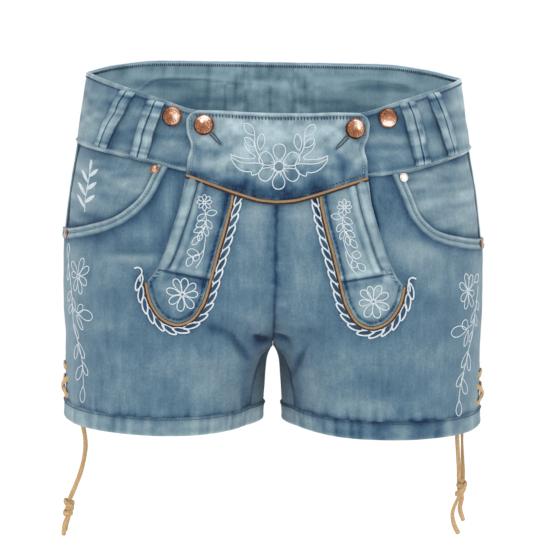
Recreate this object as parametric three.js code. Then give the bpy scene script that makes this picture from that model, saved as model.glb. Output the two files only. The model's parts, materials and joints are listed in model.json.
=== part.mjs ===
// Lederhosen-style denim shorts, hanging filled out with no wearer.
// Millimetres, +Z up, +X towards the wearer's left, front facing -Y.
// The origin is the centre of the waist opening, 2 mm above the waistband's top edge at the side seams.
import * as THREE from 'three';

// ------------------------------------------------------------------ driving sizes
const SEAM_GAP = 0.3;            // between pieces that are sewn edge to edge
const BAND_GAP = 0.45;           // the same below the waistband, where two curved edges meet
const CROTCH_Z = -232;
const CROTCH_Y = 2;
const FRONT_RISE_Z = -165;       // where the front crotch curve leaves the straight centre seam
const BACK_RISE_Z = -150;
const CROTCH_CLEAR = 1.5;        // keeps the left and right panels apart where they turn down into the legs
const LEAN = -0.014;             // the shorts hang a little out of plumb
const HEM_HEIGHT = 14.5;
const POCKET_BINDING = 9;
const LOOP_WIDTH = 15;
const BUTTON_DIAMETER = 17;
const RIVET_DIAMETER = 7.6;
const PIPING_RADIUS = 1.2;
const LACE_RADIUS = 1.4;
const SIDE = 0.5;                // the s value of the side seam
const NEAR = 0.004;              // a small step of s, for slopes

// Each cloth layer lies between two distances outward from the form.
const LAYERS = {
  facing: [-3.1, -1.8],
  panel: [0, 1.4],
  waistband: [-0.4, 2.2],
  hem: [-1.2, 1.8],
  binding: [1.9, 3.1],
  tab: [1.7, 3.1],
  pleat: [3.4, 4.4],
  flap: [3.4, 5.0],
  loop: [2.5, 4.3],
};

// ------------------------------------------------------------------ tables
// Level sections of one half: side-most, front-most and back-most point, the dip of the
// centre back, and the turn of the waist against the hips in degrees.
const SECTIONS = [
  { z: 20, sideX: 155, sideY: 2, frontX: 30, frontY: -88, backX: 45, backY: 80, cleft: 0, turn: 2.3 },
  { z: 0, sideX: 158, sideY: 2, frontX: 30, frontY: -91, backX: 45, backY: 84, cleft: 0, turn: 2.3 },
  { z: -60, sideX: 166.5, sideY: 3, frontX: 35, frontY: -99, backX: 50, backY: 100, cleft: 1, turn: 2.0 },
  { z: -110, sideX: 174.5, sideY: 4, frontX: 42, frontY: -104, backX: 62, backY: 118, cleft: 4, turn: 1.4 },
  { z: -160, sideX: 179, sideY: 5, frontX: 60, frontY: -105, backX: 75, backY: 126, cleft: 7, turn: 1.2 },
  { z: -200, sideX: 178.5, sideY: 5, frontX: 78, frontY: -103, backX: 84, backY: 121, cleft: 8, turn: 0.9 },
  { z: -232, sideX: 177, sideY: 5, frontX: 88, frontY: -99, backX: 90, backY: 111, cleft: 0, turn: 0.3 },
  { z: -270, sideX: 177, sideY: 4, frontX: 92, frontY: -95, backX: 93, backY: 101, cleft: 0, turn: 0.1 },
  { z: -310, sideX: 178, sideY: 3, frontX: 93, frontY: -93, backX: 93, backY: 97, cleft: 0, turn: 0 },
];
// The inseam: its place, and the angle in degrees at which the front panel leaves it.
const INSEAM = [
  { z: -232, x: 0, y: 2, angle: 90 },
  { z: -240, x: 10, y: -8, angle: 85 },
  { z: -262, x: 17.5, y: -28, angle: 74 },
  { z: -287, x: 21, y: -42, angle: 68 },
  { z: -310, x: 23, y: -48, angle: 66 },
];
// The innermost line of the leg, half the gap between the legs.
const INNER_LEG = [
  { z: -232, x: 0, y: 2 },
  { z: -236, x: 3.4, y: 4 },
  { z: -247, x: 6.9, y: 8 },
  { z: -267, x: 8.2, y: 12 },
  { z: -288, x: 9.5, y: 14 },
  { z: -310, x: 10.5, y: 14 },
];
const BAND_TOP_FRONT = [
  { u: 0, z: -29.4 }, { u: 60, z: -28.6 }, { u: 100, z: -18.5 }, { u: 130, z: -10 }, { u: 158, z: -2 },
];
const BAND_TOP_BACK = [
  { u: 0, z: 5.3 }, { u: 100, z: 5.3 }, { u: 137, z: 2 }, { u: 158, z: -2 },
];
const BAND_SEAM_FRONT = [
  { u: 0, right: -82, left: -82 },
  { u: 75, right: -77.5, left: -79.5 },
  { u: 104, right: -71.5, left: -76.5 },
  { u: 137, right: -66, left: -69 },
  { u: 167, right: -61.5, left: -62 },
];
const BAND_SEAM_BACK = [
  { u: 0, z: -54 }, { u: 110, z: -56 }, { u: 167, z: -61.5 },
];
const HEM_EDGE = [
  { s: 0, z: -296 }, { s: 0.25, z: -299.5 }, { s: 0.42, z: -297.4 }, { s: 0.5, z: -296 },
  { s: 0.58, z: -297.4 }, { s: 0.75, z: -299.5 }, { s: 1, z: -296 },
];
// The upper edge of the hip pockets, from the waistband to the side seam.
const SCOOP = [
  { u: 95, right: -66, left: -58 },
  { u: 103, right: -82, left: -75 },
  { u: 110, right: -96.5, left: -90 },
  { u: 120, right: -108, left: -112 },
  { u: 135, right: -119, left: -125.5 },
  { u: 155, right: -127, left: -132 },
  { u: 178, right: -135, left: -137.5 },
];
const POCKET_END_U = 178;
const FLAP_TOP = [
  { u: 0, z: -28.9 }, { u: 25, z: -28.4 }, { u: 50, z: -27.4 }, { u: 66, z: -27.4 }, { u: 80, z: -28 },
];
const FLAP_BOTTOM = [
  { u: 0, z: -99.6 }, { u: 12, z: -98.7 }, { u: 30, z: -94.2 }, { u: 52, z: -86.9 }, { u: 66, z: -82.2 },
  { u: 80, z: -77.6 },
];
// Half width of the flap at a share of the way from its top edge to its bottom edge.
const FLAP_WIDTH = [
  { share: 0, half: 66 }, { share: 0.05, half: 71.5 }, { share: 0.17, half: 75 }, { share: 0.34, half: 74.5 },
  { share: 0.55, half: 71 }, { share: 0.76, half: 73.5 }, { share: 1, half: 74.3 },
];
// The tongue-shaped tabs that come out from under the flap.
const TAB = [
  { z: -80, inner: 35.6, outer: 73.2 },
  { z: -103, inner: 38.8, outer: 78.5 },
  { z: -125, inner: 44.2, outer: 84.8 },
  { z: -142, inner: 49, outer: 90.5 },
  { z: -154, inner: 52, outer: 95.3 },
  { z: -163, inner: 54.4, outer: 100.2 },
  { z: -171, inner: 56.3, outer: 105.2 },
  { z: -184, inner: 60, outer: 102.3 },
  { z: -191, inner: 63.6, outer: 98.8 },
  { z: -197, inner: 67.6, outer: 94.4 },
  { z: -200.8, inner: 72.4, outer: 89.2 },
  { z: -203, inner: 78.4, outer: 83 },
];
const TAB_CORNER_Z = -171;       // where the tab's piping begins at its outer edge
const TAB_PIPED_Z = -90;         // and how high it goes on the inner edge
const TAB_UNDER_FLAP = 8;        // how far the tab goes up behind the flap
const TAB_SEAM_Z = -160;         // the cross seam where the folded strip ends
const BELT_LOOPS = [
  { name: 'belt_loop_right_inner', side: -1, topU: 100.4, topZ: -21, bottomU: 114.4, bottomZ: -68 },
  { name: 'belt_loop_right_outer', side: -1, topU: 123.4, topZ: -14, bottomU: 146, bottomZ: -62 },
  { name: 'belt_loop_left_inner', side: 1, topU: 107, topZ: -18.5, bottomU: 121.5, bottomZ: -70 },
  { name: 'belt_loop_left_outer', side: 1, topU: 129.5, topZ: -11.5, bottomU: 148, bottomZ: -63.5 },
];
const BACK_LOOP_HEIGHTS = { top: 2.5, bottom: -51 };
const BACK_LOOP_S = 0.97;
const BUTTONS = [
  { name: 'button_waist_right', u: -86.8, z: -33, rest: 1.9 },
  { name: 'button_flap_right', u: -60.6, z: -39.6, rest: 5.3 },
  { name: 'button_flap_left', u: 63, z: -40.7, rest: 5.3 },
  { name: 'button_waist_left', u: 90.5, z: -31.6, rest: 2 },
];
const RIVETS = [
  { name: 'rivet_right', u: -100.5, z: -77 },
  { name: 'rivet_left', u: 104.5, z: -80.5 },
];
// The largest folds: soft troughs (negative) and ridges in the form itself.
const FOLDS = [
  { face: 'front', x1: -12, z1: -222, x2: -62, z2: -203, width: 13, depth: -3.2 },
  { face: 'front', x1: 14, z1: -222, x2: 58, z2: -206, width: 12, depth: -2.6 },
  { face: 'front', x1: -22, z1: -236, x2: -70, z2: -232, width: 12, depth: 2.4 },
  { face: 'front', x1: 24, z1: -238, x2: 66, z2: -228, width: 12, depth: 2.0 },
  { face: 'front', x1: -110, z1: -140, x2: -166, z2: -158, width: 12, depth: -1.6 },
  { face: 'front', x1: 118, z1: -146, x2: 168, z2: -160, width: 12, depth: -1.6 },
  { face: 'back', x1: -14, z1: -215, x2: -78, z2: -205, width: 14, depth: -3.0 },
  { face: 'back', x1: 16, z1: -217, x2: 84, z2: -200, width: 14, depth: -3.2 },
  { face: 'back', x1: -20, z1: -236, x2: -90, z2: -230, width: 13, depth: 2.2 },
  { face: 'back', x1: 22, z1: -238, x2: 78, z2: -234, width: 13, depth: 2.0 },
];

// ------------------------------------------------------------------ small helpers
const lerp = THREE.MathUtils.lerp;
const clamp = THREE.MathUtils.clamp;
const radians = THREE.MathUtils.degToRad;
const steps = (from, to, count) => Array.from({ length: count + 1 }, (_, i) => lerp(from, to, i / count));

// Smooth value of a table's column at a place, with no overshoot between rows.
function column(rows, key, at, by = 'z') {
  const sorted = rows[0][by] < rows[rows.length - 1][by] ? rows : [...rows].reverse();
  const place = clamp(at, sorted[0][by], sorted[sorted.length - 1][by]);
  let k = 0;
  while (k < sorted.length - 2 && place > sorted[k + 1][by]) k += 1;
  const width = (i) => sorted[i + 1][by] - sorted[i][by];
  const slope = (i) => (sorted[i + 1][key] - sorted[i][key]) / width(i);
  const tangent = (i) => {
    if (i === 0) return slope(0);
    if (i === sorted.length - 1) return slope(i - 1);
    const before = slope(i - 1);
    const after = slope(i);
    if (before * after <= 0) return 0;
    const a = 2 * width(i) + width(i - 1);
    const b = width(i) + 2 * width(i - 1);
    return (a + b) / (a / before + b / after);
  };
  const t = (place - sorted[k][by]) / width(k);
  const t2 = t * t;
  const t3 = t2 * t;
  return (2 * t3 - 3 * t2 + 1) * sorted[k][key] + (t3 - 2 * t2 + t) * width(k) * tangent(k)
    + (3 * t2 - 2 * t3) * sorted[k + 1][key] + (t3 - t2) * width(k) * tangent(k + 1);
}

// The value between low and high at which a rising or falling function reaches a target.
function solve(measure, target, low, high) {
  const rising = measure(high) > measure(low);
  for (let i = 0; i < 40; i += 1) {
    const middle = (low + high) / 2;
    if (measure(middle) < target === rising) low = middle;
    else high = middle;
  }
  return (low + high) / 2;
}

// ------------------------------------------------------------------ the form
// One half is walked by s at each height: 0 centre front or inseam, 0.25 front-most,
// 0.5 side, 0.75 back-most, 1 centre back or inseam. side is -1 on the wearer's right, 1 on the left.
const ROUND = 0.5523;            // control length of a quarter round
const FRONT_CORNER = 0.6;
const BACK_CORNER = 0.58;
const INNER_SHARE = 0.7;         // share of the last quarter from the back to the inner leg
const INNER_CORNER = 0.4;
const sectionCache = new Map();

function bezier(p, t) {
  const r = 1 - t;
  const weigh = (key) => r * r * r * p[0][key] + 3 * r * r * t * p[1][key]
    + 3 * r * t * t * p[2][key] + t * t * t * p[3][key];
  return { x: weigh('x'), y: weigh('y') };
}

function riseDepth(z, riseZ) {
  const share = clamp((z - CROTCH_Z) / (riseZ - CROTCH_Z), 0, 1);
  return { depth: Math.sqrt(1 - (1 - share) ** 2), share };
}

function section(z) {
  const key = z.toFixed(3);
  if (sectionCache.has(key)) return sectionCache.get(key);
  const at = (name) => column(SECTIONS, name, z);
  const side = { x: at('sideX'), y: at('sideY') };
  const front = { x: at('frontX'), y: at('frontY') };
  const back = { x: at('backX'), y: at('backY') };
  const legs = z < CROTCH_Z;
  let start;
  let end;
  let startAngle;
  let endAngle;
  if (legs) {
    start = { x: column(INSEAM, 'x', z), y: column(INSEAM, 'y', z) };
    startAngle = radians(column(INSEAM, 'angle', z));
    start.x = Math.max(start.x, CROTCH_CLEAR + SEAM_GAP / 2);
    end = start;
  } else {
    const frontRise = riseDepth(z, FRONT_RISE_Z);
    const backRise = riseDepth(z, BACK_RISE_Z);
    startAngle = radians(90 * (1 - frontRise.share) ** 1.6);
    endAngle = radians(90 * (1 - backRise.share) ** 1.4);
    const centre = (angle) => SEAM_GAP / 2 + CROTCH_CLEAR * Math.sin(angle);
    start = { x: centre(startAngle), y: lerp(CROTCH_Y, front.y, frontRise.depth) };
    end = { x: centre(endAngle), y: lerp(CROTCH_Y, back.y - at('cleft'), backRise.depth) };
  }
  const leave = { x: Math.cos(startAngle), y: -Math.sin(startAngle) };
  const reach = ROUND * Math.hypot((front.x - start.x) * leave.x, (front.y - start.y) * leave.y);
  const quarters = [
    [start, { x: start.x + reach * leave.x, y: start.y + reach * leave.y },
      { x: lerp(front.x, start.x, ROUND), y: front.y }, front],
    [front, { x: lerp(front.x, side.x, FRONT_CORNER), y: front.y },
      { x: side.x, y: lerp(side.y, front.y, FRONT_CORNER) }, side],
    [side, { x: side.x, y: lerp(side.y, back.y, BACK_CORNER) },
      { x: lerp(back.x, side.x, BACK_CORNER), y: back.y }, back],
  ];
  if (legs) {
    const inner = { x: column(INNER_LEG, 'x', z), y: column(INNER_LEG, 'y', z) };
    inner.x = Math.max(inner.x, CROTCH_CLEAR + SEAM_GAP / 2);
    const close = INNER_CORNER * Math.hypot(inner.x - end.x, inner.y - end.y);
    quarters.push([back, { x: lerp(back.x, inner.x, ROUND), y: back.y },
      { x: inner.x, y: lerp(inner.y, back.y, ROUND) }, inner]);
    quarters.push([inner, { x: inner.x, y: inner.y - close },
      { x: end.x - close * leave.x, y: end.y - close * leave.y }, end]);
  } else {
    const arrive = { x: Math.cos(endAngle), y: Math.sin(endAngle) };
    const endReach = ROUND * Math.hypot((back.x - end.x) * arrive.x, (back.y - end.y) * arrive.y);
    quarters.push([back, { x: lerp(back.x, end.x, ROUND), y: back.y },
      { x: end.x + endReach * arrive.x, y: end.y + endReach * arrive.y }, end]);
  }
  sectionCache.set(key, quarters);
  return quarters;
}

// The straight form: before folds, turn and lean.
function plain(s, z) {
  const quarters = section(z);
  const place = z < CROTCH_Z ? s - Math.floor(s) : clamp(s, 0, 1);
  if (place >= 0.75 && quarters.length === 5) {
    const t = (place - 0.75) * 4;
    if (t < INNER_SHARE) return bezier(quarters[3], t / INNER_SHARE);
    return bezier(quarters[4], (t - INNER_SHARE) / (1 - INNER_SHARE));
  }
  const quarter = Math.min(3, Math.floor(place * 4));
  return bezier(quarters[quarter], place * 4 - quarter);
}

const FOLD_CORE = 0.15;          // a fold keeps its full depth this far each way from its middle

function foldDepth(side, s, x, z) {
  const face = s < SIDE ? 'front' : 'back';
  let depth = 0;
  for (const fold of FOLDS) {
    if (fold.face !== face) continue;
    const alongX = fold.x2 - fold.x1;
    const alongZ = fold.z2 - fold.z1;
    const dx = side * x - fold.x1;
    const dz = z - fold.z1;
    const t = (dx * alongX + dz * alongZ) / (alongX ** 2 + alongZ ** 2);
    const across = (dx * alongZ - dz * alongX) / Math.hypot(alongX, alongZ);
    const along = Math.max(0, Math.abs(t - 0.5) - FOLD_CORE) / (0.5 - FOLD_CORE);
    depth += fold.depth * Math.exp(-((across / fold.width) ** 2) - along ** 2);
  }
  return depth;
}

// A point a distance out from the form, and the direction that faces out there.
function form(side, s, z, out) {
  const dz = 1;
  const here = plain(s, z);
  const before = plain(s - NEAR, z);
  const after = plain(s + NEAR, z);
  const below = plain(s, z - dz);
  const above = plain(s, z + dz);
  const alongS = new THREE.Vector3(after.x - before.x, after.y - before.y, 0);
  const alongZ = new THREE.Vector3(above.x - below.x, above.y - below.y, 2 * dz);
  const normal = alongS.cross(alongZ).normalize();
  const reach = out + foldDepth(side, s, here.x, z);
  const point = new THREE.Vector3(here.x, here.y, z).addScaledVector(normal, reach);
  const turn = radians(column(SECTIONS, 'turn', z));
  for (const vector of [point, normal]) {
    vector.x *= side;
    vector.applyAxisAngle(new THREE.Vector3(0, 0, 1), turn);
  }
  point.x += LEAN * point.z;
  return { point, normal };
}

// The s at which the front of the form lies at a distance u from its centre line.
function frontS(u, z) {
  return solve((s) => plain(s, z).x, Math.abs(u), 0, SIDE);
}

function onFront(u, z, out) {
  return form(u < 0 ? -1 : 1, frontS(u, z), z, out);
}

// ------------------------------------------------------------------ seam lines
const BAND_TOP_LEVEL = -15;
const BAND_SEAM_LEVEL = -70;
const sideColumn = (side) => (side < 0 ? 'right' : 'left');

function bandTop(s) {
  const u = plain(s, BAND_TOP_LEVEL).x;
  return column(s < SIDE ? BAND_TOP_FRONT : BAND_TOP_BACK, 'z', u, 'u');
}

function bandSeam(side, s) {
  const u = plain(s, BAND_SEAM_LEVEL).x;
  if (s < SIDE) return column(BAND_SEAM_FRONT, sideColumn(side), u, 'u');
  return column(BAND_SEAM_BACK, 'z', u, 'u');
}

const hemEdge = (s) => column(HEM_EDGE, 'z', s, 's');
const hemSeam = (s) => hemEdge(s) + HEM_HEIGHT;

// The side seam moves forward towards the hem, and opens into the laced slit (half its width).
const SEAM_FORWARD = [{ z: -310, s: 0.483 }, { z: -262, s: 0.483 }, { z: -190, s: 0.5 }, { z: 20, s: 0.5 }];
const SLIT = [{ z: -247, half: 0 }, { z: -259, half: 5 }, { z: -272, half: 7 }, { z: -291, half: 5.5 }];
const sideSeam = (z) => column(SEAM_FORWARD, 's', z);

// Millimetres along the form for one unit of s.
function stretch(s, z) {
  const a = plain(s - NEAR, z);
  const b = plain(s + NEAR, z);
  return Math.hypot(b.x - a.x, b.y - a.y) / (2 * NEAR);
}

// How far a panel's edge stays from the side seam, as a share of s.
function seamShare(z) {
  return (column(SLIT, 'half', z) + SEAM_GAP / 2) / stretch(sideSeam(z), z);
}

// ------------------------------------------------------------------ cloth solids
function facesOut(positions, faces) {
  let volume = 0;
  const corner = (i) => new THREE.Vector3().fromArray(positions, 3 * i);
  for (let i = 0; i < faces.length; i += 3) {
    volume += corner(faces[i]).dot(corner(faces[i + 1]).cross(corner(faces[i + 2])));
  }
  return volume > 0;
}

// A wall between two grids of points: place(row, column, layer) gives a point.
function wall(rows, columns, layers, place, closed = false) {
  const positions = [];
  const faces = [];
  for (const layer of layers) {
    for (let r = 0; r < rows; r += 1) {
      for (let c = 0; c < columns; c += 1) positions.push(...place(r, c, layer).toArray());
    }
  }
  const index = (layer, r, c) => layer * rows * columns + r * columns + (c % columns);
  const quad = (a, b, c, d) => faces.push(a, b, c, a, c, d);
  const lastColumn = closed ? columns : columns - 1;
  for (let r = 0; r < rows - 1; r += 1) {
    for (let c = 0; c < lastColumn; c += 1) {
      quad(index(1, r, c), index(1, r, c + 1), index(1, r + 1, c + 1), index(1, r + 1, c));
      quad(index(0, r, c), index(0, r + 1, c), index(0, r + 1, c + 1), index(0, r, c + 1));
    }
  }
  for (let c = 0; c < lastColumn; c += 1) {
    quad(index(0, 0, c), index(0, 0, c + 1), index(1, 0, c + 1), index(1, 0, c));
    quad(index(1, rows - 1, c), index(1, rows - 1, c + 1), index(0, rows - 1, c + 1), index(0, rows - 1, c));
  }
  if (!closed) {
    for (let r = 0; r < rows - 1; r += 1) {
      const last = columns - 1;
      quad(index(0, r + 1, 0), index(0, r, 0), index(1, r, 0), index(1, r + 1, 0));
      quad(index(0, r, last), index(0, r + 1, last), index(1, r + 1, last), index(1, r, last));
    }
  }
  if (!facesOut(positions, faces)) faces.reverse();
  const geometry = new THREE.BufferGeometry();
  geometry.setAttribute('position', new THREE.Float32BufferAttribute(positions, 3));
  geometry.setIndex(faces);
  geometry.computeVertexNormals();
  return geometry;
}

// ------------------------------------------------------------------ materials
const cloth = (color) => new THREE.MeshStandardMaterial({ color, roughness: 0.9, metalness: 0 });
const denim = cloth(0x6f8c9c);
const lightDenim = cloth(0x86a0ad);
const insideDenim = cloth(0x6d8996);
const laceCord = cloth(0xbda383);
const pipingCloth = cloth(0x9a7650);
const copper = new THREE.MeshStandardMaterial({ color: 0xb0785a, roughness: 0.35, metalness: 1 });

const shorts = new THREE.Group();

function add(name, geometry, material) {
  const mesh = new THREE.Mesh(geometry, material);
  mesh.name = name;
  shorts.add(mesh);
  return mesh;
}

const HALVES = [{ label: 'right', side: -1 }, { label: 'left', side: 1 }];

const ROW_BEND = 2.2;            // a panel's rows stay level near their first column, then bend
// Half the seam gap at the inseam, as a share of s.
const INSEAM_TRIM = { front: 0.0007, back: 0.0004 };

// ------------------------------------------------------------------ front panels
// Rows run from the centre seam to the pocket's edge and, below it, to the side seam.
const CENTRE_ROWS = [-94, -107, -121, -135, -150, -165, -184, -200, -212, -222, -228, -231.2, -232];
const LEG_ROWS = [-240, -252, -268];
const SIDE_ROWS = [-155, -175, -198, -222, -243, -254, -270];
const SCOOP_ROWS = [106, 113, 122, 134, 147, 158, 167, 173];
const FRONT_COLUMNS = [
  0, 0.08, 0.17, 0.28, 0.4, 0.52, 0.62, 0.71, 0.78, 0.83, 0.87, 0.905, 0.935, 0.96, 0.982, 1,
];

const scoopZ = (side, u) => column(SCOOP, sideColumn(side), u, 'u');

function scoopPoint(side, u) {
  const z = scoopZ(side, u);
  return { s: frontS(Math.min(u, column(SECTIONS, 'sideX', z)), z), z };
}

function scoopStart(side) {
  const above = (u) => scoopZ(side, u) - bandSeam(side, scoopPoint(side, u).s) + BAND_GAP;
  return solve(above, 0, SCOOP[0].u, 115);
}

function frontPanel(side) {
  const startU = scoopStart(side);
  const start = scoopPoint(side, startU);
  const pocketEnd = scoopZ(side, POCKET_END_U);
  const sideEnd = { s: sideSeam(pocketEnd) - seamShare(pocketEnd), z: pocketEnd };
  const ends = [start, ...SCOOP_ROWS.map((u) => scoopPoint(side, u)), sideEnd,
    ...SIDE_ROWS.map((z) => ({ s: sideSeam(z) - seamShare(z), z }))];
  const bottom = hemSeam(SIDE) + SEAM_GAP;
  ends.push({ s: sideSeam(bottom) - seamShare(bottom), z: bottom });
  const topLine = (s) => bandSeam(side, s) - BAND_GAP;
  const bottomLine = (s) => hemSeam(s) + SEAM_GAP;
  const centres = [topLine(0), ...CENTRE_ROWS, ...LEG_ROWS, bottomLine(0)];
  const shareAt = (z, s) => (topLine(s) - z) / (topLine(s) - bottomLine(s));
  const rowShares = centres.map((z, r) => [shareAt(z, 0), shareAt(ends[r].z, ends[r].s)]);
  const place = (r, c, out) => {
    const t = FRONT_COLUMNS[c];
    const first = centres[r] <= CROTCH_Z ? INSEAM_TRIM.front : 0;
    const s = lerp(first, ends[r].s, t);
    const share = lerp(rowShares[r][0], rowShares[r][1], t ** ROW_BEND);
    const z = lerp(topLine(s), bottomLine(s), share);
    return form(side, s, z, out).point;
  };
  return wall(centres.length, FRONT_COLUMNS.length, LAYERS.panel, place);
}

// ------------------------------------------------------------------ hip pocket facings
const FACING_REACH = 13;         // how far the facing goes down behind the front panel
const FACING_LEVEL = -110;
const FACING_START = { u: 90, z: -75 };

function facing(side) {
  const startS = frontS(FACING_START.u, FACING_START.z);
  const columns = steps(startS, SIDE - seamShare(FACING_LEVEL), 12);
  const shares = steps(0, 1, 5);
  const place = (r, c, out) => {
    const s = columns[c];
    const u = plain(s, FACING_LEVEL).x;
    const top = bandSeam(side, s) - BAND_GAP;
    const bottom = scoopZ(side, u) - FACING_REACH;
    return form(side, s, lerp(top, bottom, shares[r]), out).point;
  };
  return wall(shares.length, columns.length, LAYERS.facing, place);
}

// ------------------------------------------------------------------ pocket bindings
const BINDING_END_S = 0.4985;
const BINDING_ROWS = [105, 110, 116, 123, 131, 140, 149, 157, 164, 169, 173, 175.5, 177, POCKET_END_U];

function besideScoop(side, u, away) {
  const a = scoopPoint(side, u - 0.5);
  const b = scoopPoint(side, Math.min(u + 0.5, POCKET_END_U));
  const middle = scoopPoint(side, u);
  const scale = stretch(middle.s, middle.z);
  const alongS = (b.s - a.s) * scale;
  const alongZ = b.z - a.z;
  const length = Math.hypot(alongS, alongZ);
  return {
    s: Math.min(middle.s + (away * alongZ) / length / scale, BINDING_END_S),
    z: middle.z - (away * alongS) / length,
  };
}

function pocketBinding(side) {
  const lines = steps(0, POCKET_BINDING, 2);
  const starts = lines.map((away) => solve((u) => {
    const at = besideScoop(side, u, away);
    return at.z - bandSeam(side, at.s) + BAND_GAP;
  }, 0, 92, 125));
  const place = (r, c, out) => {
    const u = r === 0 ? starts[c] : Math.max(BINDING_ROWS[r - 1], starts[c] + 0.5 * r);
    const at = besideScoop(side, u, lines[c]);
    return form(side, at.s, at.z, out).point;
  };
  return wall(BINDING_ROWS.length + 1, lines.length, LAYERS.binding, place);
}

// ------------------------------------------------------------------ back panels
const BACK_CENTRE_ROWS = [-78, -100, -125, -150, -172, -190, -205, -217, -226, -230.8, -232];
const BACK_SIDE_ROWS = [-72, -85, -98, -111, -124, -137, -146, ...SIDE_ROWS];
const BACK_COLUMNS = [0, 0.06, 0.14, 0.24, 0.35, 0.46, 0.57, 0.68, 0.79, 0.9, 1];

function backPanel(side) {
  const topLine = (s) => bandSeam(side, s) - BAND_GAP;
  const bottomLine = (s) => hemSeam(s) + SEAM_GAP;
  const centres = [topLine(1), ...BACK_CENTRE_ROWS, ...LEG_ROWS, bottomLine(1)];
  const sides = [topLine(SIDE), ...BACK_SIDE_ROWS, bottomLine(SIDE)];
  const shareAt = (z, s) => (topLine(s) - z) / (topLine(s) - bottomLine(s));
  const place = (r, c, out) => {
    const t = BACK_COLUMNS[c];
    const first = sideSeam(sides[r]) + seamShare(sides[r]);
    const last = centres[r] <= CROTCH_Z ? 1 - INSEAM_TRIM.back : 1;
    const s = lerp(first, last, t);
    const share = lerp(shareAt(sides[r], SIDE), shareAt(centres[r], 1), t ** ROW_BEND);
    return form(side, s, lerp(topLine(s), bottomLine(s), share), out).point;
  };
  return wall(centres.length, BACK_COLUMNS.length, LAYERS.panel, place);
}

// ------------------------------------------------------------------ waistband
function waistband() {
  const half = [0, 0.06, 0.12, 0.18, 0.25, 0.3, 0.35, 0.39, 0.42, 0.45, 0.475, 0.5,
    0.53, 0.57, 0.61, 0.66, 0.71, 0.76, 0.82, 0.88, 0.94, 1];
  const around = [
    ...half.map((s) => ({ side: 1, s })),
    ...half.slice(0, -1).reverse().slice(0, -1).map((s) => ({ side: -1, s })),
  ];
  const shares = steps(0, 1, 3);
  const place = (r, c, out) => {
    const { side, s } = around[c];
    const lower = bandSeam(side, s);
    return form(side, s, lerp(bandTop(s), lower, shares[r]), out).point;
  };
  return wall(shares.length, around.length, LAYERS.waistband, place, true);
}

// ------------------------------------------------------------------ hems
function hem(side) {
  const around = steps(0, 1, 30).slice(0, -1);
  const shares = [0, 0.5, 1];
  const place = (r, c, out) => {
    const s = around[c];
    return form(side, s, lerp(hemSeam(s), hemEdge(s), shares[r]), out).point;
  };
  return wall(shares.length, around.length, LAYERS.hem, place, true);
}

// ------------------------------------------------------------------ flap
const flapTop = (u) => column(FLAP_TOP, 'z', Math.abs(u), 'u');
const flapBottom = (u) => column(FLAP_BOTTOM, 'z', Math.abs(u), 'u');

function flap() {
  const across = steps(-1, 1, 16);
  const place = (r, c, out) => {
    const { share, half } = FLAP_WIDTH[r];
    const u = across[c] * half;
    return onFront(u, lerp(flapTop(u), flapBottom(u), share), out).point;
  };
  return wall(FLAP_WIDTH.length, across.length, LAYERS.flap, place);
}

// ------------------------------------------------------------------ piping
function ring8(radius) {
  const corners = steps(0, 2 * Math.PI, 8).slice(0, -1);
  return new THREE.Shape(corners.map((a) => new THREE.Vector2(radius * Math.cos(a), radius * Math.sin(a))));
}

function tube(points, radius, count) {
  const path = new THREE.CatmullRomCurve3(points, false, 'centripetal');
  return new THREE.ExtrudeGeometry(ring8(radius), { steps: count, bevelEnabled: false, extrudePath: path });
}

const PIPING_OUT = 4.3;          // the flap's piping lies on the tabs' piping and the panels
const BELOW_EDGE = PIPING_RADIUS + SEAM_GAP;

function flapPiping() {
  const end = FLAP_WIDTH[FLAP_WIDTH.length - 1].half;
  const points = steps(-end, end, 16).map((u) => onFront(u, flapBottom(u) - BELOW_EDGE, PIPING_OUT).point);
  return tube(points, PIPING_RADIUS, 26);
}

// ------------------------------------------------------------------ tabs
const PIPING_END_SHIFT = 0.8;
const tabTop = (u) => flapBottom(u) + TAB_UNDER_FLAP;

function tab(side) {
  const across = steps(0, 1, 5);
  const place = (r, c, out) => {
    const row = TAB[r];
    const u = lerp(row.inner, row.outer, across[c]);
    const z = r === 0 ? tabTop(u) : row.z;
    return onFront(side * u, z, out).point;
  };
  return wall(TAB.length, across.length, LAYERS.tab, place);
}

// The tab's outline from its outer corner round the bottom to the flap, as u and z.
function tabOutline() {
  const low = TAB.filter((row) => row.z <= TAB_CORNER_Z);
  const inner = [...TAB].reverse().filter((row) => row.z < TAB_PIPED_Z);
  return [...low.map((row) => [row.outer, row.z]), ...inner.map((row) => [row.inner, row.z])];
}

function tabPiping(side) {
  const outline = tabOutline();
  const reach = PIPING_RADIUS + SEAM_GAP;
  const beside = outline.map(([u, z], i) => {
    const [u0, z0] = outline[Math.max(i - 1, 0)];
    const [u1, z1] = outline[Math.min(i + 1, outline.length - 1)];
    const length = Math.hypot(u1 - u0, z1 - z0);
    return [u - (reach * (z1 - z0)) / length, z + (reach * (u1 - u0)) / length];
  });
  const endU = TAB[0].inner + PIPING_END_SHIFT;
  beside.push([endU, flapBottom(endU) - 2 * BELOW_EDGE - PIPING_RADIUS]);
  const out = LAYERS.tab[0] + PIPING_RADIUS;
  const points = beside.map(([u, z]) => onFront(side * u, z, out).point);
  return tube(points, PIPING_RADIUS, 34);
}

// The folded strip along the tab's outer side, from the flap to the cross seam.
const PLEAT_WIDTH = 8.5;
const PLEAT_INSET = 0.6;
const PLEAT_START = 4;           // below the flap's edge

function tabPleat(side) {
  const across = [0, PLEAT_WIDTH];
  const shares = steps(0, 1, 6);
  const place = (r, c, out) => {
    const edgeU = (z) => column(TAB, 'outer', z) - PLEAT_INSET - across[c];
    const top = flapBottom(edgeU(TAB[0].z)) - PLEAT_START;
    const z = lerp(top, TAB_SEAM_Z, shares[r]);
    return onFront(side * edgeU(z), z, out).point;
  };
  return wall(shares.length, across.length, LAYERS.pleat, place);
}

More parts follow.
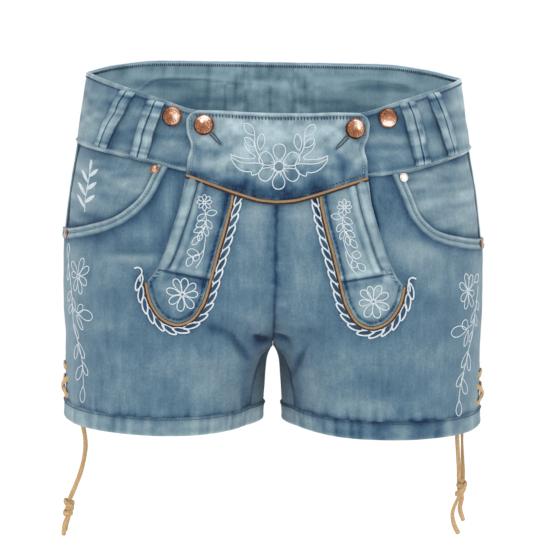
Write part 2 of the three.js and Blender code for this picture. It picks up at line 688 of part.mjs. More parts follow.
// ------------------------------------------------------------------ belt loops
const LOOP_RISE = 1.6;
const LOOP_LEVEL = -40;
const LOOP_TILT = 0.6;           // share of the waistband's slope that the loop's ends follow
const loopBow = (share) => LOOP_RISE * Math.sin(Math.PI * share);

function beltLoop({ side, topU, topZ, bottomU, bottomZ }) {
  const across = [-0.5, 0, 0.5];
  const shares = steps(0, 1, 5);
  const place = (r, c, out) => {
    const share = shares[r];
    const middle = frontS(lerp(topU, bottomU, share), lerp(topZ, bottomZ, share));
    const slope = (bandTop(middle + NEAR) - bandTop(middle - NEAR)) / (2 * NEAR);
    const shift = (across[c] * LOOP_WIDTH) / stretch(middle, LOOP_LEVEL);
    const z = lerp(topZ, bottomZ, share) + shift * slope * LOOP_TILT;
    return form(side, middle + shift, z, out + loopBow(share)).point;
  };
  return wall(shares.length, across.length, LAYERS.loop, place);
}

function backLoop() {
  const shares = steps(0, 1, 4);
  const across = [-0.5, 0, 0.5];
  const place = (r, c, out) => {
    const offset = across[c] * LOOP_WIDTH;
    const share = shares[r];
    const z = lerp(BACK_LOOP_HEIGHTS.top, BACK_LOOP_HEIGHTS.bottom, share);
    const side = offset < 0 ? -1 : 1;
    const s = 1 - Math.abs(offset) / stretch(BACK_LOOP_S, z);
    return form(side, s, z, out + loopBow(share)).point;
  };
  return wall(shares.length, across.length, LAYERS.loop, place);
}

// ------------------------------------------------------------------ buttons and rivets
function turned(profile, sides) {
  return new THREE.LatheGeometry(profile.map(([r, y]) => new THREE.Vector2(r, y)), sides);
}

const BUTTON_PROFILE = [
  [0, 0], [3, 0], [3, 1.2], [8.1, 1.2], [BUTTON_DIAMETER / 2, 2], [8, 3.2], [6, 4.6], [3.2, 5.4], [0, 5.7],
];
const RIVET_PROFILE = [
  [0, 0], [RIVET_DIAMETER / 2, 0], [RIVET_DIAMETER / 2, 0.5], [2.6, 1.1], [0, 1.4],
];

const RIVET_REST = LAYERS.binding[1] + SEAM_GAP;
const SIDE_RIVET_U = 173;

function stand(mesh, { point, normal }) {
  mesh.position.copy(point);
  mesh.quaternion.setFromUnitVectors(new THREE.Vector3(0, 1, 0), normal);
}

// ------------------------------------------------------------------ side laces
// Each side has a bar and a cross over the slit, then two strands that hang inside the leg,
// come out below the hem, meet in a knot and end in two tails. x is the distance from the centre.
const LACE_BARS = [
  { name: 'lace_bar', front: { z: -253.5, off: 8.5 }, back: { z: -252.5, off: 8.5 }, lift: 3.2 },
  { name: 'lace_cross_under', front: { z: -277.4, off: 14 }, back: { z: -263, off: 13 }, lift: 4.4 },
  { name: 'lace_cross_over', front: { z: -263, off: 13 }, back: { z: -277.4, off: 14 }, lift: 7.8 },
];
const LACE_REST = LAYERS.panel[1] + SEAM_GAP + LACE_RADIUS;
const LACE_START = [{ out: -0.8, drop: 0 }, { out: -4.5, drop: 0.5 }];

function laceBar(side, { front, back, lift }) {
  const points = steps(0, 1, 6).map((t) => {
    const z = lerp(front.z, back.z, t);
    const away = lerp(-front.off, back.off, t);
    const s = sideSeam(z) + away / stretch(sideSeam(z), z);
    const out = LACE_REST + (lift - LACE_REST) * Math.sin(Math.PI * t) ** 0.8;
    return form(side, s, z, Math.max(out, LACE_REST)).point;
  });
  return tube(points, LACE_RADIUS, 14);
}

const HANGING = {
  right: {
    front: [[-163.5, -21.5, -287], [-158.5, -21.5, -303], [-155.8, -21, -320], [-158.6, -20.5, -340],
      [-164.6, -20.2, -358], [-168.4, -20, -368]],
    back: [[-165, 2, -287], [-158.8, -8, -303], [-156, -14, -320], [-158.9, -16, -340],
      [-164.8, -16.2, -358], [-168.6, -16.2, -368]],
    knot: [-169.6, -18.1, -376],
    tails: [
      [[-170.8, -20, -384.1], [-173, -20.4, -391], [-173.6, -20.4, -399]],
      [[-170, -16.4, -384.1], [-171.6, -15.6, -390], [-172.6, -15.6, -396]],
    ],
  },
  left: {
    front: [[167.5, -24, -286], [163, -24, -302], [164, -23, -322], [165.2, -21.6, -335],
      [165.6, -21.4, -344]],
    back: [[171, -2, -287], [167.6, -14, -302], [168, -18, -322], [168.8, -18.6, -335],
      [168.8, -18.4, -344]],
    knot: [167.2, -20, -352],
    tails: [
      [[165.4, -21.2, -360.1], [160.6, -21.4, -373], [162, -21, -383], [165.8, -20.6, -391]],
      [[168.4, -18.4, -360.1], [167, -18, -370], [170, -18, -380]],
    ],
  },
};
const KNOT_HEIGHT = 15;
const KNOT_PROFILE = [[0, -0.5], [3.9, -0.5], [4.7, -0.2], [4.2, 0.05], [4.7, 0.3], [3.9, 0.5], [0, 0.5]];

const vectors = (rows) => rows.map((row) => new THREE.Vector3(...row));

// A strand leaves the inner face of the cloth, square to it, at the cross's lower end.
function strand(side, end, rows) {
  const cross = LACE_BARS[1].front;
  const level = cross.z;
  const s = sideSeam(level) + (end * cross.off) / stretch(sideSeam(level), level);
  const start = LACE_START.map(({ out, drop }) => form(side, s, level - drop, out).point);
  return tube([...start, ...vectors(rows)], LACE_RADIUS, 20);
}

function knot() {
  const geometry = turned(KNOT_PROFILE.map(([r, y]) => [r, y * KNOT_HEIGHT]), 10);
  geometry.rotateX(Math.PI / 2);
  return geometry;
}

// ------------------------------------------------------------------ assembly
add('waistband', waistband(), denim);
add('flap', flap(), lightDenim);
add('flap_piping', flapPiping(), pipingCloth);
for (const { label, side } of HALVES) {
  add(`front_panel_${label}`, frontPanel(side), denim);
  add(`back_panel_${label}`, backPanel(side), denim);
  add(`pocket_facing_${label}`, facing(side), insideDenim);
  add(`pocket_binding_${label}`, pocketBinding(side), lightDenim);
  add(`tab_${label}`, tab(side), lightDenim);
  add(`tab_pleat_${label}`, tabPleat(side), lightDenim);
  add(`tab_piping_${label}`, tabPiping(side), pipingCloth);
  add(`hem_${label}`, hem(side), denim);
}
for (const loop of BELT_LOOPS) add(loop.name, beltLoop(loop), lightDenim);
add('belt_loop_back', backLoop(), lightDenim);
for (const { name, u, z, rest } of BUTTONS) {
  stand(add(name, turned(BUTTON_PROFILE, 16), copper), onFront(u, z, rest));
}
for (const { name, u, z } of RIVETS) {
  stand(add(name, turned(RIVET_PROFILE, 12), copper), onFront(u, z, RIVET_REST));
}
for (const { label, side } of HALVES) {
  const at = besideScoop(side, SIDE_RIVET_U, POCKET_BINDING / 2);
  stand(add(`rivet_side_${label}`, turned(RIVET_PROFILE, 12), copper), form(side, at.s, at.z, RIVET_REST));
  for (const bar of LACE_BARS) add(`${bar.name}_${label}`, laceBar(side, bar), laceCord);
  const { front, back, knot: knotAt, tails } = HANGING[label];
  add(`lace_front_${label}`, strand(side, -1, front), laceCord);
  add(`lace_back_${label}`, strand(side, 1, back), laceCord);
  add(`lace_knot_${label}`, knot(), laceCord).position.set(...knotAt);
  tails.forEach((rows, i) => {
    add(`lace_tail_${label}_${i + 1}`, tube(vectors(rows), LACE_RADIUS, 6), laceCord);
  });
}

export default shorts;
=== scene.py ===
# Denim shorts in the lederhosen cut: the looks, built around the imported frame.
# Shapes are worked out in millimetres and turned into metres where a mesh is made.
# side is -1 on the wearer's right half and 1 on the left. s runs once round a half, from 0 at the centre
# front through 0.5 at the side to 1 at the centre back. u is how far across from the centre a place is, and
# where it stands for both halves it is negative on the right one.
import json
import math

import bpy
import numpy as np
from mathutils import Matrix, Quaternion, Vector

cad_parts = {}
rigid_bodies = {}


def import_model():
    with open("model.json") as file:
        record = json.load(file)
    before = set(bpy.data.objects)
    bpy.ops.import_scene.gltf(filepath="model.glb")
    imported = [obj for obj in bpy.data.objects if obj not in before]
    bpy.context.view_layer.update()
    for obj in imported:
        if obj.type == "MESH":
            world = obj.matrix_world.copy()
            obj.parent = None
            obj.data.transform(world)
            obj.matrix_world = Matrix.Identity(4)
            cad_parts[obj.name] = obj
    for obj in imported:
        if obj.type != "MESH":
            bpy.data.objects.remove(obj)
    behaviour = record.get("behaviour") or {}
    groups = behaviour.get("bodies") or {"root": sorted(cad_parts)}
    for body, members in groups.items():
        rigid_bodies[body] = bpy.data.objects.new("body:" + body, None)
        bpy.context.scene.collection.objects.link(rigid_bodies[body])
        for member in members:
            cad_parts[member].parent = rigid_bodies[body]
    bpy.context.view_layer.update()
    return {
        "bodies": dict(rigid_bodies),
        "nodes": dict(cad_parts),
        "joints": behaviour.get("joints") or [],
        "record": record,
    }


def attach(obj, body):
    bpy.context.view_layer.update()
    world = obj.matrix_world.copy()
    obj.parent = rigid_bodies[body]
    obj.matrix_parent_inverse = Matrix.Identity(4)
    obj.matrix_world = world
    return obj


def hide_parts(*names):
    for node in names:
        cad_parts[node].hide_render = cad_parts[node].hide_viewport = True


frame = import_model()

MM = 0.001
scene = bpy.context.scene

# ---------------------------------------------------------------- tables of the cut, as in the CAD
SEAM_GAP = 0.06
BAND_GAP = 0.12
CROTCH_Z = -232
CROTCH_Y = 2
FRONT_RISE_Z = -165
BACK_RISE_Z = -150
CROTCH_CLEAR = 1.5
LEAN = -0.014
HEM_HEIGHT = 14.5
POCKET_BINDING = 9
SIDE = 0.5
PAST_SIDE = SIDE + 1e-6
NEAR = 0.004
# Each layer: how far out from the form it begins and ends.
LAYERS = {
    "facing": (-3.1, -1.8), "panel": (0, 1.4), "waistband": (-0.4, 2.2), "hem": (-1.2, 1.8),
    "binding": (1.9, 3.1), "tab": (1.7, 3.1), "pleat": (3.4, 4.4), "flap": (3.4, 5.0), "loop": (2.5, 4.3),
}


def table(names, *rows):
    """Named columns, sorted by the first one."""
    data = np.array(sorted(rows), float)
    return dict(zip(names.split(), data.T))


SECTIONS = table(
    "z sideX sideY frontX frontY backX backY cleft turn",
    (20, 155, 2, 30, -88, 45, 80, 0, 2.3), (0, 158, 2, 30, -91, 45, 84, 0, 2.3),
    (-60, 166.5, 3, 35, -99, 50, 100, 1, 2.0), (-110, 174.5, 4, 42, -104, 62, 118, 4, 1.4),
    (-160, 179, 5, 60, -105, 75, 126, 7, 1.2), (-200, 178.5, 5, 78, -103, 84, 121, 8, 0.9),
    (-232, 177, 5, 88, -99, 90, 111, 0, 0.3), (-270, 177, 4, 92, -95, 93, 101, 0, 0.1),
    (-310, 178, 3, 93, -93, 93, 97, 0, 0))
INSEAM = table("z x y angle", (-232, 0, 2, 90), (-240, 10, -8, 85), (-262, 17.5, -28, 74),
               (-287, 21, -42, 68), (-310, 23, -48, 66))
INNER_LEG = table("z x y", (-232, 0, 2), (-236, 3.4, 4), (-247, 6.9, 8), (-267, 8.2, 12),
                  (-288, 9.5, 14), (-310, 10.5, 14))
BAND_TOP_FRONT = table("u z", (0, -29.4), (60, -28.6), (100, -18.5), (130, -10), (158, -2))
BAND_TOP_BACK = table("u z", (0, 5.3), (100, 5.3), (137, 2), (158, -2))
BAND_SEAM_FRONT = table("u right left", (0, -82, -82), (75, -77.5, -79.5), (104, -71.5, -76.5),
                        (137, -66, -69), (167, -61.5, -62))
BAND_SEAM_BACK = table("u z", (0, -54), (110, -56), (167, -61.5))
HEM_EDGE = table("s z", (0, -296), (0.25, -299.5), (0.42, -297.4), (0.5, -296), (0.58, -297.4),
                 (0.75, -299.5), (1, -296))
SCOOP = table("u right left", (95, -66, -58), (103, -82, -75), (110, -96.5, -90), (120, -108, -112),
              (135, -119, -125.5), (155, -127, -132), (178, -135, -137.5))
POCKET_END_U = 178
FLAP_TOP = table("u z", (0, -28.9), (25, -28.4), (50, -27.4), (66, -27.4), (80, -28))
FLAP_BOTTOM = table("u z", (0, -99.6), (12, -98.7), (30, -94.2), (52, -86.9), (66, -82.2), (80, -77.6))
FLAP_WIDTH = table("share half", (0, 66), (0.05, 71.5), (0.17, 75), (0.34, 74.5), (0.55, 71),
                   (0.76, 73.5), (1, 74.3))
TAB = table("row z inner outer", (0, -80, 35.6, 73.2), (1, -103, 38.8, 78.5), (2, -125, 44.2, 84.8),
            (3, -142, 49, 90.5), (4, -154, 52, 95.3), (5, -163, 54.4, 100.2), (6, -171, 56.3, 105.2),
            (7, -184, 60, 102.3), (8, -191, 63.6, 98.8), (9, -197, 67.6, 94.4),
            (10, -200.8, 72.4, 89.2), (11, -203, 78.4, 83))
SEAM_FORWARD = table("z s", (-310, 0.483), (-262, 0.483), (-190, 0.5), (20, 0.5))
SLIT = table("z half", (-247, 0), (-259, 5), (-272, 7), (-291, 5.5))
# Each loop: name, half, and u and z of its top and its bottom.
BELT_LOOPS = [
    ("belt_loop_right_inner", -1, 100.4, -21, 114.4, -68),
    ("belt_loop_right_outer", -1, 123.4, -14, 146, -62),
    ("belt_loop_left_inner", 1, 107, -18.5, 121.5, -70),
    ("belt_loop_left_outer", 1, 129.5, -11.5, 148, -63.5),
]
BACK_LOOP = (2.5, -51)
# Each button and rivet: name, u and z, and how far out a button's back rests.
BUTTONS = [
    ("button_waist_right", -86.8, -33, 1.9), ("button_flap_right", -60.6, -39.6, 5.3),
    ("button_flap_left", 63, -40.7, 5.3), ("button_waist_left", 90.5, -31.6, 2),
]
RIVETS = [("rivet_right", -100.5, -77), ("rivet_left", 104.5, -80.5)]
# Each lace over a slit: name, height and distance from the seam in front and behind, and how far out it lies.
LACE_BARS = [
    ("lace_bar", -253.5, 8.5, -252.5, 8.5, 3.2),
    ("lace_cross_under", -277.4, 14, -263, 13, 4.4),
    ("lace_cross_over", -263, 13, -277.4, 14, 7.8),
]
# The laces of each half as they hang from behind the cloth, through the knot to their tails.
HANGING = {
    "right": {
        "front": [(-163.5, -21.5, -287), (-158.5, -21.5, -303), (-155.8, -21, -320), (-158.6, -20.5, -340),
                  (-164.6, -20.2, -358), (-168.4, -20, -368)],
        "back": [(-165, 2, -287), (-158.8, -8, -303), (-156, -14, -320), (-158.9, -16, -340),
                 (-164.8, -16.2, -358), (-168.6, -16.2, -368)],
        "knot": (-169.6, -18.1, -376),
        "tails": [[(-170.8, -20, -384.1), (-173, -20.4, -391), (-173.6, -20.4, -399)],
                  [(-170, -16.4, -384.1), (-171.6, -15.6, -390), (-172.6, -15.6, -396)]],
    },
    "left": {
        "front": [(167.5, -24, -286), (163, -24, -302), (164, -23, -322), (165.2, -21.6, -335),
                  (165.6, -21.4, -344)],
        "back": [(171, -2, -287), (167.6, -14, -302), (168, -18, -322), (168.8, -18.6, -335),
                 (168.8, -18.4, -344)],
        "knot": (167.2, -20, -352),
        "tails": [[(165.4, -21.2, -360.1), (160.6, -21.4, -373), (162, -21, -383), (165.8, -20.6, -391)],
                  [(168.4, -18.4, -360.1), (167, -18, -370), (170, -18, -380)]],
    },
}
HALVES = [("right", -1), ("left", 1)]

# Soft troughs (negative) and ridges on each face: from x, z, to x, z, half width, depth.
# x is positive on the left half.
FOLDS = {
    "front": [
        (-12, -222, -62, -203, 13, -3.2), (14, -222, 58, -206, 12, -2.6),
        (-22, -236, -70, -232, 12, 2.4), (24, -238, 66, -228, 12, 2.0),
        (-110, -140, -166, -158, 12, -1.6), (118, -146, 168, -160, 12, -1.6)],
    "back": [
        (-14, -215, -78, -205, 14, -3.0), (16, -217, 84, -200, 14, -3.2),
        (-20, -236, -90, -230, 13, 2.2), (22, -238, 78, -234, 13, 2.0)],
}
CREASES = {
    "front": [
        (-3, -222, -17, -216, 2.8, -3.4), (2, -215, 12, -219, 2.4, -2.8),
        (12, -219, 15, -230, 2.4, -1.6), (3, -211, 16, -214, 2.4, 0.9),
        (-95, -145, -136, -147, 2.2, -1.4), (-98, -150.5, -136, -152, 2.8, 0.8),
        (84, -88, 96, -92, 3, -0.9), (82, -98, 100, -104, 3.4, -0.8), (-57, -206, -34, -216, 4, -2.3),
        (-36, -214, -21, -235, 3.2, -3.2), (-42, -222, -28, -238, 4, 1.0),
        (-18, -224, -30, -216, 3, 0.9), (12, -214, 46, -209, 5, -1.2), (14, -232, 34, -219, 4.5, 0.9),
        (16, -255, 29, -220, 2.4, -2.1), (24, -256, 40, -232, 6, 0.8), (44, -232, 92, -226, 8, 0.7),
        (-46, -240, -100, -236, 9, 0.7), (-60, -252, -130, -258, 10, -0.6),
        (60, -250, 120, -262, 10, -0.6), (-96, -126, -146, -141, 7, 0.9),
        (-92, -150, -150, -170, 9, 0.8), (98, -136, 150, -150, 8, 0.8), (104, -158, 160, -178, 9, 0.7),
        (-120, -180, -168, -196, 9, -0.8), (124, -186, 168, -204, 9, -0.8),
        (-130, -208, -170, -216, 8, 0.7), (92, -222, 168, -230, 10, 0.6),
        (-86, -96, -92, -128, 4, 0.8), (88, -92, 92, -126, 4, -0.7), (-96, -88, -102, -104, 3.5, -0.7),
        (-10, -108, -30, -112, 5, 0.5), (8, -112, 32, -108, 5, 0.5), (-8, -150, -34, -154, 7, -0.5),
        (10, -176, 40, -180, 8, -0.5), (-10, -196, -44, -190, 7, 0.6), (10, -200, 44, -194, 6, 0.6)],
    "back": [
        (-8, -212, -30, -207, 5, -2.6), (7, -214, 32, -210, 5, -2.4), (-20, -226, -60, -216, 5, 1.2),
        (22, -228, 66, -216, 5, 1.1), (-14, -190, -60, -182, 8, -0.9), (16, -186, 70, -176, 9, -0.9),
        (-20, -90, -120, -104, 10, -0.8), (26, -84, 110, -98, 10, -0.8),
        (-30, -126, -140, -140, 11, 0.7), (36, -122, 150, -142, 12, 0.7),
        (-90, -170, -165, -180, 10, -0.9), (96, -166, 168, -178, 10, -0.9),
        (-60, -246, -150, -252, 9, 0.8), (66, -250, 150, -246, 9, 0.8),
        (-110, -226, -170, -236, 8, -0.7), (104, -222, 168, -232, 8, -0.7)],
}
FOLD_CORE = 0.15


# ---------------------------------------------------------------- helpers
def column(tab, key, at):
    """Smooth value of a table's column at each place of its first one, with no overshoot between rows."""
    xs = tab[next(iter(tab))]
    ys = tab[key]
    width = np.diff(xs)
    slope = np.diff(ys) / width
    tangent = np.concatenate(([slope[0]], np.zeros(len(xs) - 2), [slope[-1]]))
    a = 2 * width[1:] + width[:-1]
    b = width[1:] + 2 * width[:-1]
    same = slope[:-1] * slope[1:] > 0
    before = np.where(same, slope[:-1], 1)
    after = np.where(same, slope[1:], 1)
    tangent[1:-1] = np.where(same, (a + b) / (a / before + b / after), 0)
    at = np.clip(np.asarray(at, float), xs[0], xs[-1])
    k = np.clip(np.searchsorted(xs, at, side="right") - 1, 0, len(xs) - 2)
    w = width[k]
    t = (at - xs[k]) / w
    t2 = t * t
    t3 = t2 * t
    return ((2 * t3 - 3 * t2 + 1) * ys[k] + (t3 - 2 * t2 + t) * w * tangent[k]
            + (3 * t2 - 2 * t3) * ys[k + 1] + (t3 - t2) * w * tangent[k + 1])


def lerp(a, b, t):
    return a + (b - a) * t


def smooth(low, high, x):
    t = np.clip((np.asarray(x, float) - low) / (high - low), 0, 1)
    return t * t * (3 - 2 * t)


def bump(x, width):
    return np.exp(-(np.asarray(x, float) / width) ** 2)


def fade(x, reach):
    """1 up to a line and dying away past it."""
    return np.exp(-np.maximum(x, 0) / reach)


def spot(x, z, middle_x, middle_z, wide, high):
    """A soft round spot, 1 at its middle."""
    return np.exp(-((x - middle_x) / wide) ** 2 - ((z - middle_z) / high) ** 2)


SOLVE_STEPS = 22
GRID_ROW = 512
GRID_SIDE = 128


def solve(measure, target, low, high):
    """Where a measure that only rises or only falls from low to high reaches its target."""
    target = np.asarray(target, float)
    low = np.full(target.shape, float(low))
    high = np.full(target.shape, float(high))
    rising = measure(high) > measure(low)
    for _ in range(SOLVE_STEPS):
        middle = (low + high) / 2
        up = (measure(middle) < target) == rising
        low = np.where(up, middle, low)
        high = np.where(up, high, middle)
    return (low + high) / 2


def lattice(seed, shape):
    return np.random.default_rng(seed).uniform(-1, 1, shape)


def cells(t, size):
    """The cell each value is in, the one after it, and an eased share of the way between them."""
    cell = np.floor(t).astype(int)
    f = t - cell
    return cell % size, (cell + 1) % size, f * f * (3 - 2 * f)


def noise1(t, seed):
    """Smooth random value from -1 to 1 along a line, one cell a unit."""
    grid = lattice(seed, GRID_ROW)
    here, after, f = cells(t, GRID_ROW)
    return lerp(grid[here], grid[after], f)


def noise2(x, y, seed):
    """The same over a plane."""
    grid = lattice(seed, (GRID_SIDE, GRID_SIDE))
    x, y = np.broadcast_arrays(np.asarray(x, float), np.asarray(y, float))
    i, i_after, fx = cells(x, GRID_SIDE)
    j, j_after, fy = cells(y, GRID_SIDE)
    low = lerp(grid[i, j], grid[i_after, j], fx)
    high = lerp(grid[i, j_after], grid[i_after, j_after], fx)
    return lerp(low, high, fy)


# ---------------------------------------------------------------- the form, as in the CAD
ROUND = 0.5523
FRONT_CORNER = 0.6
BACK_CORNER = 0.58
INNER_SHARE = 0.7
INNER_CORNER = 0.4
FRONT_TURN_POWER = 1.6
BACK_TURN_POWER = 1.4


def rise(z, top):
    """How far the centre seam has come out from the crotch, and the share of its height."""
    share = np.clip((z - CROTCH_Z) / (top - CROTCH_Z), 0, 1)
    return np.sqrt(1 - (1 - share) ** 2), share


# How the cloth runs in towards the crotch in front and behind, away from the seam itself: place and angle.
FRONT_HOLLOW = table("z x y angle", (-150, 1.5, -105, 0), (-172, 1.5, -103.5, 8), (-190, 2, -97, 20),
                     (-207, 3.5, -84, 36), (-222, 6, -68, 50), (-236, 9.5, -53, 60), (-252, 14, -43.5, 66),
                     (-270, 18, -41, 68), (-288, 21, -42, 68), (-310, 23, -48, 66))
BACK_HOLLOW = table("z x y angle", (-130, 0.5, 123, 0), (-160, 0.8, 119, 10), (-182, 1.2, 107, 26),
                    (-200, 1.8, 90, 42), (-216, 2.4, 68, 56), (-230, 3, 46, 68), (-242, 5, 29, 77),
                    (-256, 7.4, 18, 84), (-275, 8.6, 14, 89), (-310, 10.5, 14, 90))
HOLLOW_FADE = 0.09
FRONT_HOLLOW_FROM = (-150, -185)
BACK_HOLLOW_FROM = (-130, -165)
DRAWN_IN = 0.97
DRAWN_FROM = -200


def drawn_end(place, angle, way, far, share, hollow, hollow_from, z):
    """A quarter's end at the crotch as it is drawn into the hollow, and the control point beside it."""
    away = share * smooth(*hollow_from, z)
    angle = lerp(angle, np.radians(column(hollow, "angle", z)), away)
    place = lerp(place, column(hollow, "x", z) + 1j * column(hollow, "y", z), away)
    leave = np.cos(angle) + way * np.sin(angle)
    reach = ROUND * np.hypot((far - place).real * leave.real, (far - place).imag * leave.imag)
    return place, place + reach * leave


def plain(s, z):
    """The straight form: before folds, turn and lean, as x + iy."""
    s, z = np.broadcast_arrays(np.asarray(s, float), np.asarray(z, float))
    at = {name: column(SECTIONS, name, z) for name in SECTIONS if name != "z"}
    side = at["sideX"] + 1j * at["sideY"]
    front = at["frontX"] + 1j * at["frontY"]
    back = at["backX"] + 1j * at["backY"]
    legs = z < CROTCH_Z
    place = np.where(legs, s - np.floor(s), np.clip(s, 0, 1))
    quarter = np.minimum(3, np.floor(place * 4)).astype(int)
    t = place * 4 - quarter
    last = quarter == 3
    turned_in = last & legs & (t >= INNER_SHARE)
    drawn = np.where(legs, 1, DRAWN_IN * (1 - smooth(CROTCH_Z, DRAWN_FROM, z)))
    t_last = lerp(t, np.minimum(t / INNER_SHARE, 1), drawn)
    t = np.where(turned_in, (t - INNER_SHARE) / (1 - INNER_SHARE), np.where(last, t_last, t))
    clear = CROTCH_CLEAR + SEAM_GAP / 2
    front_depth, front_share = rise(z, FRONT_RISE_Z)
    back_depth, back_share = rise(z, BACK_RISE_Z)
    inseam = np.maximum(column(INSEAM, "x", z), clear) + 1j * column(INSEAM, "y", z)
    inner = np.maximum(column(INNER_LEG, "x", z), clear) + 1j * column(INNER_LEG, "y", z)

    angle = np.where(legs, np.radians(column(INSEAM, "angle", z)),
                     np.radians(90 * (1 - front_share) ** FRONT_TURN_POWER))
    sharp = np.where(legs, inseam, SEAM_GAP / 2 + CROTCH_CLEAR * np.sin(angle)
                     + 1j * lerp(CROTCH_Y, front.imag, front_depth))
    sharp_leave = np.cos(angle) - 1j * np.sin(angle)
    share = np.where(quarter == 0, 1 - bump(t, HOLLOW_FADE), 0)
    start, after_start = drawn_end(sharp, angle, -1j, front, share, FRONT_HOLLOW, FRONT_HOLLOW_FROM, z)

    angle = np.where(legs, math.pi / 2, np.radians(90 * (1 - back_share) ** BACK_TURN_POWER))
    end = np.where(legs, inner, SEAM_GAP / 2 + CROTCH_CLEAR * np.sin(angle)
                   + 1j * lerp(CROTCH_Y, back.imag - at["cleft"], back_depth))
    share = np.where(last, 1 - bump(1 - t, HOLLOW_FADE), 0)
    end, before_end = drawn_end(end, angle, 1j, back, share, BACK_HOLLOW, BACK_HOLLOW_FROM, z)
    close = INNER_CORNER * np.abs(inner - sharp)
    controls = [
        (start, after_start, lerp(front.real, start.real, ROUND) + 1j * front.imag, front),
        (front, lerp(front.real, side.real, FRONT_CORNER) + 1j * front.imag,
         side.real + 1j * lerp(side.imag, front.imag, FRONT_CORNER), side),
        (side, side.real + 1j * lerp(side.imag, back.imag, BACK_CORNER),
         lerp(back.real, side.real, BACK_CORNER) + 1j * back.imag, back),
        (back, lerp(back.real, end.real, ROUND) + 1j * back.imag, before_end, end),
        (inner, inner - 1j * close, sharp - close * sharp_leave, sharp),
    ]
    pick = np.where(turned_in, 4, quarter)
    p = [np.choose(pick, [c[i] for c in controls]) for i in range(4)]
    r = 1 - t
    return r * r * r * p[0] + 3 * r * r * t * p[1] + 3 * r * t * t * p[2] + t * t * t * p[3]


def on_faces(table_of_faces, s):
    """Each row of a table by face, with where the places are on that face."""
    front = np.asarray(s) < SIDE
    for there, face in ((front, "front"), (~front, "back")):
        for row in table_of_faces[face]:
            yield there, row


def fold_depth(folds, side, s, x, z):
    depth = np.zeros(np.broadcast(s, x, z).shape)
    for there, (x1, z1, x2, z2, width, height) in on_faces(folds, s):
        along_x = x2 - x1
        along_z = z2 - z1
        dx = side * x - x1
        dz = z - z1
        t = (dx * along_x + dz * along_z) / (along_x ** 2 + along_z ** 2)
        across = (dx * along_z - dz * along_x) / math.hypot(along_x, along_z)
        along = np.maximum(0, np.abs(t - 0.5) - FOLD_CORE) / (0.5 - FOLD_CORE)
        depth += np.where(there, height * np.exp(-((across / width) ** 2) - along ** 2), 0)
    return depth


def form(side, s, z, out, creased=True):
    """Points a distance out from the form, and the directions that face out there."""
    s, z = np.broadcast_arrays(np.asarray(s, float), np.asarray(z, float))
    here = plain(s, z)
    along_s = plain(s + NEAR, z) - plain(s - NEAR, z)
    along_z = plain(s, z + 1) - plain(s, z - 1)
    normal = np.stack([along_s.imag * 2, -along_s.real * 2,
                       along_s.real * along_z.imag - along_s.imag * along_z.real], -1)
    normal /= np.linalg.norm(normal, axis=-1, keepdims=True)
    reach = out + fold_depth(FOLDS, side, s, here.real, z)
    if creased:
        reach = reach + fold_depth(CREASES, side, s, here.real, z)
    point = np.stack([here.real, here.imag, z], -1) + normal * reach[..., None]
    turn = np.radians(column(SECTIONS, "turn", z))
    for vector in (point, normal):
        x = vector[..., 0] * side
        y = vector[..., 1].copy()
        vector[..., 0] = x * np.cos(turn) - y * np.sin(turn)
        vector[..., 1] = x * np.sin(turn) + y * np.cos(turn)
    point[..., 0] += LEAN * point[..., 2]
    return point, normal


def front_s(u, z):
    """The s on the front whose plain x is u."""
    u = np.abs(np.asarray(u, float))
    u, z = np.broadcast_arrays(u, np.asarray(z, float))
    return solve(lambda s: plain(s, z).real, u, 0, SIDE)


def on_front(u, z, out):
    """Places out from the front of either half; u is negative on the right one."""
    u, z, out = np.broadcast_arrays(*(np.asarray(a, float) for a in (u, z, out)))
    s = front_s(u, z)
    right, right_normal = form(-1, s, z, out)
    left, left_normal = form(1, s, z, out)
    on_right = (u < 0)[..., None]
    return np.where(on_right, right, left), np.where(on_right, right_normal, left_normal)


def stretch(s, z):
    """Millimetres round the form for one unit of s."""
    return np.abs(plain(s + NEAR, z) - plain(s - NEAR, z)) / (2 * NEAR)


def label_of(side):
    return "right" if side < 0 else "left"


BAND_TOP_LEVEL = -15
BAND_SEAM_LEVEL = -70


def band_top(s):
    u = plain(s, BAND_TOP_LEVEL).real
    return np.where(np.asarray(s) < SIDE, column(BAND_TOP_FRONT, "z", u), column(BAND_TOP_BACK, "z", u))


def band_seam(side, s):
    u = plain(s, BAND_SEAM_LEVEL).real
    front = column(BAND_SEAM_FRONT, label_of(side), u)
    return np.where(np.asarray(s) < SIDE, front, column(BAND_SEAM_BACK, "z", u))


def hem_edge(s):
    return column(HEM_EDGE, "z", s)


def hem_seam(s):
    return hem_edge(s) + HEM_HEIGHT


def side_seam(z):
    return column(SEAM_FORWARD, "s", z)


def seam_share(z):
    return (column(SLIT, "half", z) + SEAM_GAP / 2) / stretch(side_seam(z), z)


def scoop_z(side, u):
    return column(SCOOP, label_of(side), u)


def scoop_point(side, u):
    z = scoop_z(side, u)
    return front_s(np.minimum(u, column(SECTIONS, "sideX", z)), z), z


def flap_top(u):
    return column(FLAP_TOP, "z", np.abs(u))


def flap_bottom(u):
    return column(FLAP_BOTTOM, "z", np.abs(u))


# ---------------------------------------------------------------- camera and light
TARGET = Vector((0.004, 0, -0.173))
DISTANCE = 3.0
ELEVATION = math.radians(6.0)
ROLL = math.radians(1.1)
SPAN = 0.473
# Each soft light: name, place, size across and power.
LIGHTS = [
    ("key", (-1.2, -2.0, 1.6), 0.55, 8.6), ("front", (0.5, -2.5, 0.9), 0.3, 1.2),
    ("fill", (1.6, -1.8, 0.5), 0.6, 3.5), ("top", (0.1, 0.9, 1.9), 1.4, 7),
]


def look_at(obj, place, target, roll=0.0):
    obj.location = place
    toward = (Vector(target) - Vector(place)).to_track_quat("-Z", "Y")
    obj.rotation_mode = "QUATERNION"
    obj.rotation_quaternion = toward @ Quaternion((0, 0, 1), roll)


